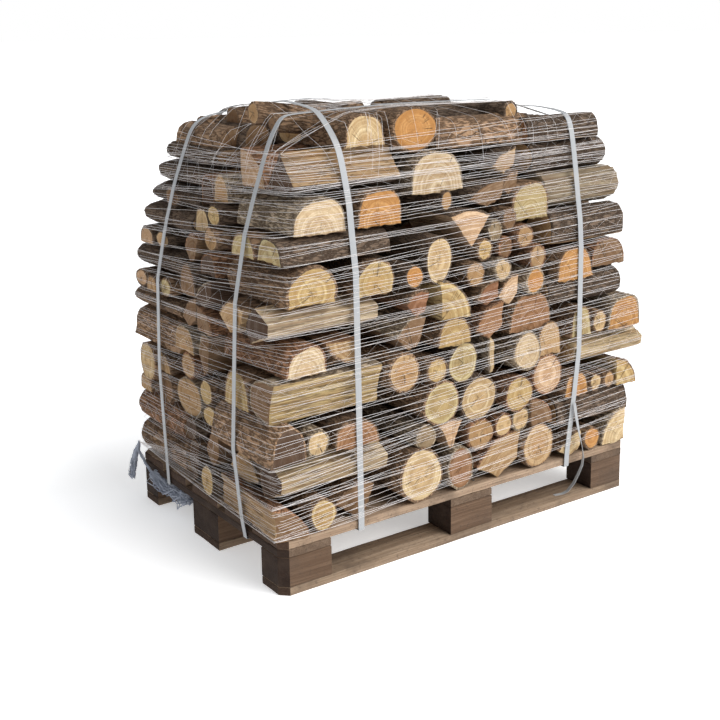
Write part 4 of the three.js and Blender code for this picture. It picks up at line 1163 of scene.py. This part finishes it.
def addTube(gatherer, path, radius, sides, closed, seed=0.0):
    path = np.asarray(path, float)
    if closed:
        tangent = np.roll(path, -1, 0) - np.roll(path, 1, 0)
    else:
        tangent = np.gradient(path, axis=0)
    tangent /= np.maximum(np.linalg.norm(tangent, axis=1, keepdims=True), 1e-9)
    up = np.tile((0.02, 0.03, 1.0), (len(path), 1))
    side = np.cross(tangent, up)
    steep = np.linalg.norm(side, axis=1) < 0.2
    side[steep] = np.cross(tangent[steep], (1.0, 0.1, 0.0))
    side /= np.linalg.norm(side, axis=1, keepdims=True)
    top = np.cross(side, tangent)
    n = len(path)
    rings = [path + radius * (math.cos(6.2832 * k / sides) * side + math.sin(6.2832 * k / sides) * top)
             for k in range(sides)]
    points = np.stack(rings, 1).reshape(-1, 3)
    faces = []
    for i in range(n if closed else n - 1):
        a, b = i * sides, ((i + 1) % n) * sides
        for k in range(sides):
            m = (k + 1) % sides
            faces.append((a + k, b + k, b + m, a + m))
    if not closed:
        faces.append(tuple(range(sides)))
        faces.append(tuple((n - 1) * sides + k for k in range(sides))[::-1])
    run = np.repeat(np.concatenate([[0], np.cumsum(np.linalg.norm(np.diff(path, axis=0), axis=1))]), sides)
    places = np.column_stack([np.full(n * sides, seed), run, np.zeros(n * sides)])
    gatherer.add(points, faces, [0] * len(faces), places, [])


# Net
netMake = {
    "threadRadius": 0.00036,
    "fineRadius": 0.00022,
    "clearance": 0.0022,
    "step": 0.022,
    "deckEdge": 0.152,
    "slantedLoops": 32,
    "levelLoops": 40,
    "topLoops": 12,
    "topThreads": 44,
    "twinShare": 0.45,
    "fanStrands": 11,
}


def loopPath(rng, base, slopeX, slopeY, sag, clearance=0.0):
    # a taut thread round everything it meets at its own height
    heightAt = lambda x, y: np.maximum(base + slopeX * x + slopeY * y, netMake["deckEdge"])
    near = wood[np.abs(wood[:, 2] - heightAt(wood[:, 0], wood[:, 1])) < 0.014]
    if len(near) < 30:
        return None
    outline = resampled(movedOut(hullOf(near[:, :2]), netMake["clearance"] + clearance), netMake["step"])
    n = len(outline)
    phases = [(rng.uniform(0, 6.28), k) for k in (3, 5, 8, 13)]
    turn = np.linspace(0, 2 * math.pi, n, endpoint=False)
    wave = sum(np.sin(k * turn + p) / k ** 0.6 for p, k in phases)
    jitter = np.array([rng.gauss(0, 1) for _ in range(n)]) * 0.0002
    z = heightAt(outline[:, 0], outline[:, 1]) + wave * sag + jitter
    return np.column_stack([outline, np.maximum(z, 0.147)])


def buildNet():
    rng = random.Random(5)
    main, lace = MeshGatherer(), MeshGatherer()
    loops = []
    for i in range(netMake["slantedLoops"]):
        base = 0.150 + 0.86 * (i / netMake["slantedLoops"]) ** 1.05 + rng.uniform(-0.006, 0.006)
        loops.append((base, rng.uniform(0.075, 0.105) * (1 - 0.5 * base), -rng.uniform(0.06, 0.10), 0.0005))
    for i in range(netMake["levelLoops"]):
        base = 0.160 + 0.90 * i / netMake["levelLoops"] + rng.uniform(-0.007, 0.007)
        loops.append((base, rng.uniform(0.0, 0.03), -rng.uniform(0.02, 0.06), 0.0006))
    for i in range(netMake["topLoops"]):
        base = 0.98 + 0.12 * i / netMake["topLoops"] + rng.uniform(-0.01, 0.01)
        loops.append((base, rng.uniform(-0.04, 0.05), rng.uniform(-0.09, 0.05), 0.0030))
    paths = []
    for k, (base, slopeX, slopeY, sag) in enumerate(loops):
        path = loopPath(rng, base, slopeX, slopeY, sag)
        if path is None:
            continue
        paths.append((k, path))
        addTube(main, path, netMake["threadRadius"], 4, True, k * 0.37)
        if rng.random() < netMake["twinShare"]:
            twin = loopPath(rng, base + rng.uniform(0.004, 0.009), slopeX, slopeY, sag * 0.7, 0.0006)
            if twin is not None:
                addTube(main, twin, netMake["threadRadius"] * 0.8, 4, True, k * 0.37 + 0.1)
    firstLevel = netMake["slantedLoops"]
    ordered = [path for k, path in paths if k >= firstLevel]
    for low, high in zip(ordered[:-1:3], ordered[1::3]):
        if len(low) < 40 or len(high) < 40:
            continue
        count = int(len(low) * 0.62)
        lowTurn = np.linspace(0, len(low), count, endpoint=False) + rng.uniform(0, 3)
        zigzag = []
        for i, mark in enumerate(lowTurn):
            if i % 2 == 0:
                zigzag.append(low[int(mark) % len(low)])
            else:
                here = low[int(mark) % len(low)]
                nearest = np.argmin(((high - here) ** 2).sum(1))
                zigzag.append(high[nearest])
        zigzag = np.array(zigzag)
        outward = zigzag[:, :2] / np.linalg.norm(zigzag[:, :2], axis=1, keepdims=True)
        zigzag[:, :2] += outward * 0.0008
        addTube(lace, zigzag, netMake["fineRadius"], 3, True, rng.uniform(0, 9))
    return main, lace


def buildTopNet(gatherer):
    # threads that cross the top of the pile and go a little way down its sides
    rng = random.Random(21)
    for i in range(netMake["topThreads"]):
        k = i % 2
        half = 0.33 if k == 0 else 0.42
        middle = rng.uniform(-half, half)
        slab = wood[(np.abs(wood[:, 1 - k] - middle) < 0.03) & (wood[:, 2] > 0.86)]
        if len(slab) < 30:
            continue
        outline = resampled(movedOut(hullOf(slab[:, [k, 2]]), 0.002), 0.02)
        outline = np.roll(outline, -int(np.argmin(outline[:, 1] + 0.01 * outline[:, 0])), 0)
        outline = outline[outline[:, 1] > 1.03 + rng.uniform(-0.03, 0.05)]
        if len(outline) < 10:
            continue
        path = np.zeros((len(outline), 3))
        path[:, k], path[:, 2] = outline[:, 0], outline[:, 1]
        turn = np.linspace(0, 3.14, len(outline))
        path[:, 1 - k] = middle + 0.02 * np.sin(turn * rng.uniform(1, 3) + rng.uniform(0,
                6)) + 0.003 * np.sin(turn * 9)
        addTube(gatherer, path, netMake["threadRadius"] * 0.9, 4, False, i * 0.7)


def straggle(rng, points, spread, count, radius, gatherer, swell=None):
    # loose threads that follow one line together, each with its own wander
    line = resampled(np.array(points), 0.012, closed=False)
    n = len(line)
    for _ in range(count):
        wander = np.zeros((n, 3))
        for k in (1, 2, 4, 7):
            phase, size = rng.uniform(0, 6.28), rng.uniform(0.4, 1.0) / k ** 0.5
            way = np.array([rng.gauss(0, 1) for _ in range(3)])
            wander += np.outer(np.sin(np.linspace(0, 3.14 * k, n) + phase), way) * size * 0.5
        width = np.full(n, spread) if swell is None else np.interp(np.linspace(0, 1, n), swell[0], swell[1])
        addTube(gatherer, line + wander * width[:, None], radius, 4, False, rng.uniform(0, 9))


def buildNetTail(fans):
    rng = random.Random(9)
    tail = MeshGatherer()
    rope = [(-0.604, 0.404, 0.170), (-0.612, 0.396, 0.148), (-0.614, 0.340, 0.118), (-0.611, 0.292, 0.092)]
    straggle(rng, rope, 0.0042, 40, 0.0011, tail)
    bunch = [(-0.609, 0.305, 0.100), (-0.584, 0.272, 0.068), (-0.574, 0.205, 0.060), (-0.580, 0.130, 0.072)]
    straggle(rng, bunch, 0.018, 230, 0.0013, tail, ([0, 0.2, 0.75, 1], [0.012, 0.025, 0.026, 0.016]))
    hanging = [(-0.604, 0.406, 0.160), (-0.611, 0.420, 0.132), (-0.616, 0.432, 0.096), (-0.618, 0.436, 0.056)]
    straggle(rng, hanging, 0.0055, 110, 0.0013, tail, ([0, 0.3, 0.7, 1], [0.004, 0.009, 0.013, 0.011]))
    for k in range(netMake["fanStrands"]):
        rise = 0.006 + 0.016 * k + rng.uniform(-0.003, 0.003)
        corner = (-0.607, -0.404, 0.150 + rise)
        onFront = (-0.42 + 0.03 * k, -0.4085, 0.158 + rise * 1.25 + 0.010)
        mid = (-0.6095, 0.02, 0.157 + rise * 0.55)
        addTube(fans, resampled(np.array([(-0.606, 0.404, 0.170), mid, corner, onFront]), 0.02,
                                closed=False), 0.00042, 4, False, k)
    return tail


netMain, netLace = buildNet()
buildTopNet(netMain)
tailThreads = buildNetTail(netLace)
settle(netMain.build("net_threads", ["net"], "bandPlace"), ["net"])
settle(netLace.build("net_lace", ["net"], "bandPlace"), ["net"])
settle(tailThreads.build("net_gathered_end", ["gathered"], "bandPlace"), ["net_tail"])
print("net wound:", len(netMain.faces), len(netLace.faces), len(tailThreads.faces), "faces")

# Straps
strapMake = {
    "width": 0.0175, "looseWidth": 0.011, "thickness": 0.0012, "crown": 0.0003, "step": 0.022,
    "shoulderSoftness": 5, "shoulderLift": 0.002,
    # the rounded left shoulder of each long strap: middle of the arc (x, z) and its radius
    "nearShoulder": (-0.41, 1.06, 0.09),
    "farShoulder": (-0.44, 1.075, 0.045),
}


def boxCorners(node):
    low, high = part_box(node)
    return [(x, y, z) for x in (low.x, high.x) for y in (low.y, high.y) for z in (low.z, high.z)]


def bandOutline(axis, middle, reach, extra, clearance):
    k = 0 if axis == "x" else 1
    keep = wood[np.abs(wood[:, k] - middle) < reach]
    points = np.vstack([keep[:, [1, 2]] if axis == "x" else keep[:, [0, 2]], extra])
    return movedOut(hullOf(points), clearance)


def bandSection(points, outward, sideways, width, thickness, crown):
    # eight points round a flat band with a slight crown, at one place along it
    steps = [(-0.5, 0), (-0.25, 0), (0.25, 0), (0.5, 0), (0.5, 1), (0.25, 1), (-0.25, 1), (-0.5, 1)]
    return [points + sideways * width * a + outward * (thickness * b + (crown if abs(a) < 0.4 else 0))
            for a, b in steps]


def addBand(gatherer, path, outward, sideways, closed, seed=0.0, width=None):
    n, rows = len(path), []
    for i in range(n):
        rows.append(bandSection(path[i], outward[i], sideways[i], width or strapMake["width"],
                                strapMake["thickness"], strapMake["crown"]))
    points = np.array(rows).reshape(-1, 3)
    faces = []
    for i in range(n if closed else n - 1):
        a, b = i * 8, ((i + 1) % n) * 8
        faces += [(a + k, b + k, b + (k + 1) % 8, a + (k + 1) % 8) for k in range(8)]
    if not closed:
        faces += [tuple(range(8)), tuple((n - 1) * 8 + k for k in range(8))[::-1]]
    run = np.repeat(np.concatenate([[0], np.cumsum(np.linalg.norm(np.diff(path, axis=0), axis=1))]), 8)
    acrossAt = np.tile(np.array([-0.5, -0.25, 0.25, 0.5, 0.5, 0.25, -0.25, -0.5]) * strapMake["width"], n)
    gatherer.add(points, faces, [0] * len(faces), np.column_stack([acrossAt, run, np.full(n * 8, seed)]), [])


def strapLoop(gatherer, axis, outline, middleAt, seed=0.0):
    flat = resampled(outline, strapMake["step"])
    flat = np.vstack([flat, outline])
    flat = hullOf(flat)
    dense = []
    for i in range(len(flat)):
        a, b = flat[i], flat[(i + 1) % len(flat)]
        steps = max(1, round(np.linalg.norm(b - a) / strapMake["step"]))
        dense += [a + (b - a) * s / steps for s in range(steps)]
    flat = np.array(dense)
    high = np.clip((flat[:, 1:] - 0.90) / 0.06, 0, 1)
    for _ in range(strapMake["shoulderSoftness"]):
        flat = flat + high * 0.25 * (np.roll(flat, 1, 0) + np.roll(flat, -1, 0) - 2 * flat)
    away = flat - flat.mean(0)
    flat = flat + high * strapMake["shoulderLift"] * away / np.linalg.norm(away, axis=1, keepdims=True)
    ahead = np.roll(flat, -1, 0) - np.roll(flat, 1, 0)
    ahead /= np.linalg.norm(ahead, axis=1, keepdims=True)
    normal = np.stack([ahead[:, 1], -ahead[:, 0]], 1)
    n = len(flat)
    path, outward = np.zeros((n, 3)), np.zeros((n, 3))
    sideways = np.zeros((n, 3))
    first = 1 if axis == "x" else 0
    other = 0 if axis == "x" else 1
    path[:, first], path[:, 2] = flat[:, 0], flat[:, 1]
    path[:, other] = [middleAt(p, q) for p, q in flat]
    outward[:, first], outward[:, 2] = normal[:, 0], normal[:, 1]
    sideways[:, other] = 1 if axis == "x" else -1
    addBand(gatherer, path, outward, sideways, True, seed)
    return gatherer.points[-1]


looseEndPoints = [
    (367, -412.9, 306, 0), (374, -415, 262, 6), (384, -418, 214, 30), (393, -421, 176, 52),
    (399, -421, 142, 66),
    (401, -415, 114, 74), (398, -404, 84, 78), (390, -394, 54, 80), (376, -384, 30, 84),
    (362, -378, 23.6, 88),
    (336, -372, 23.4, 88),
]


def rightStrapMiddle(y, z):
    lower = min(1, max(0, (0.460 - z) / 0.300))
    front = min(1, max(0, (0.400 - y) / 0.800))
    return 0.386 - 0.036 * lower * front


def addLooseEnd(gatherer):
    marks = np.array([(x / 1000, y / 1000, z / 1000, math.radians(t)) for x, y, z, t in looseEndPoints])
    line = resampled(marks, 0.012, closed=False)
    ahead = np.gradient(line[:, :3], axis=0)
    ahead /= np.linalg.norm(ahead, axis=1, keepdims=True)
    sideways = np.column_stack([np.cos(line[:, 3]), np.sin(line[:, 3]), np.zeros(len(line))])
    outward = np.cross(ahead, sideways)
    outward /= np.linalg.norm(outward, axis=1, keepdims=True)
    addBand(gatherer, line[:, :3], outward, sideways, False, 3.0, strapMake["looseWidth"])


def shoulderArc(x, z, radius):
    # a quarter turn from the outside of the shoulder up to its top
    turns = np.radians([180, 157.5, 135, 112.5, 90])
    return np.column_stack([x + radius * np.cos(turns), z + radius * np.sin(turns)])


def inSlab(points, k, middle, reach):
    return points[np.abs(points[:, k] - middle) < reach]


def buildStraps():
    deck = np.array([c for i in range(1, 6) for c in boxCorners(f"deck_board_{i}")])
    cross = np.array([c for k in ("left", "centre", "right") for c in boxCorners(f"cross_board_{k}")])
    half = strapMake["width"] / 2
    long = MeshGatherer()
    for middle, shoulder, seed in ((-0.226, "nearShoulder", 4.0), (0.214, "farShoulder", 5.0)):
        under = np.vstack([np.vstack([deck, cross])[:, [0, 2]], shoulderArc(*strapMake[shoulder])])
        outline = bandOutline("y", middle, half + 0.034, under, 0.0026)
        strapLoop(long, "y", outline, lambda x, z, m=middle: m, seed)
    short = MeshGatherer()
    for middle, middleAt, seed in ((-0.366, lambda y, z: -0.366, 1.0), (0.368, rightStrapMiddle, 2.0)):
        over = inSlab(long.allPoints(), 0, middle, half + 0.02)
        over = over[over[:, 2] > 0.3]
        outline = bandOutline("x", middle, half + 0.012, np.vstack([deck, over])[:, [1, 2]], 0.0030)
        strapLoop(short, "x", outline, middleAt, seed)
    addLooseEnd(short)
    settle(long.build("long_way_straps", ["strap"], "bandPlace", 50),
           ["strap_long_front", "strap_long_back"])
    settle(short.build("short_way_straps", ["strap"], "bandPlace", 50),
           ["strap_cross_left", "strap_cross_right"])


buildStraps()
print("straps drawn")
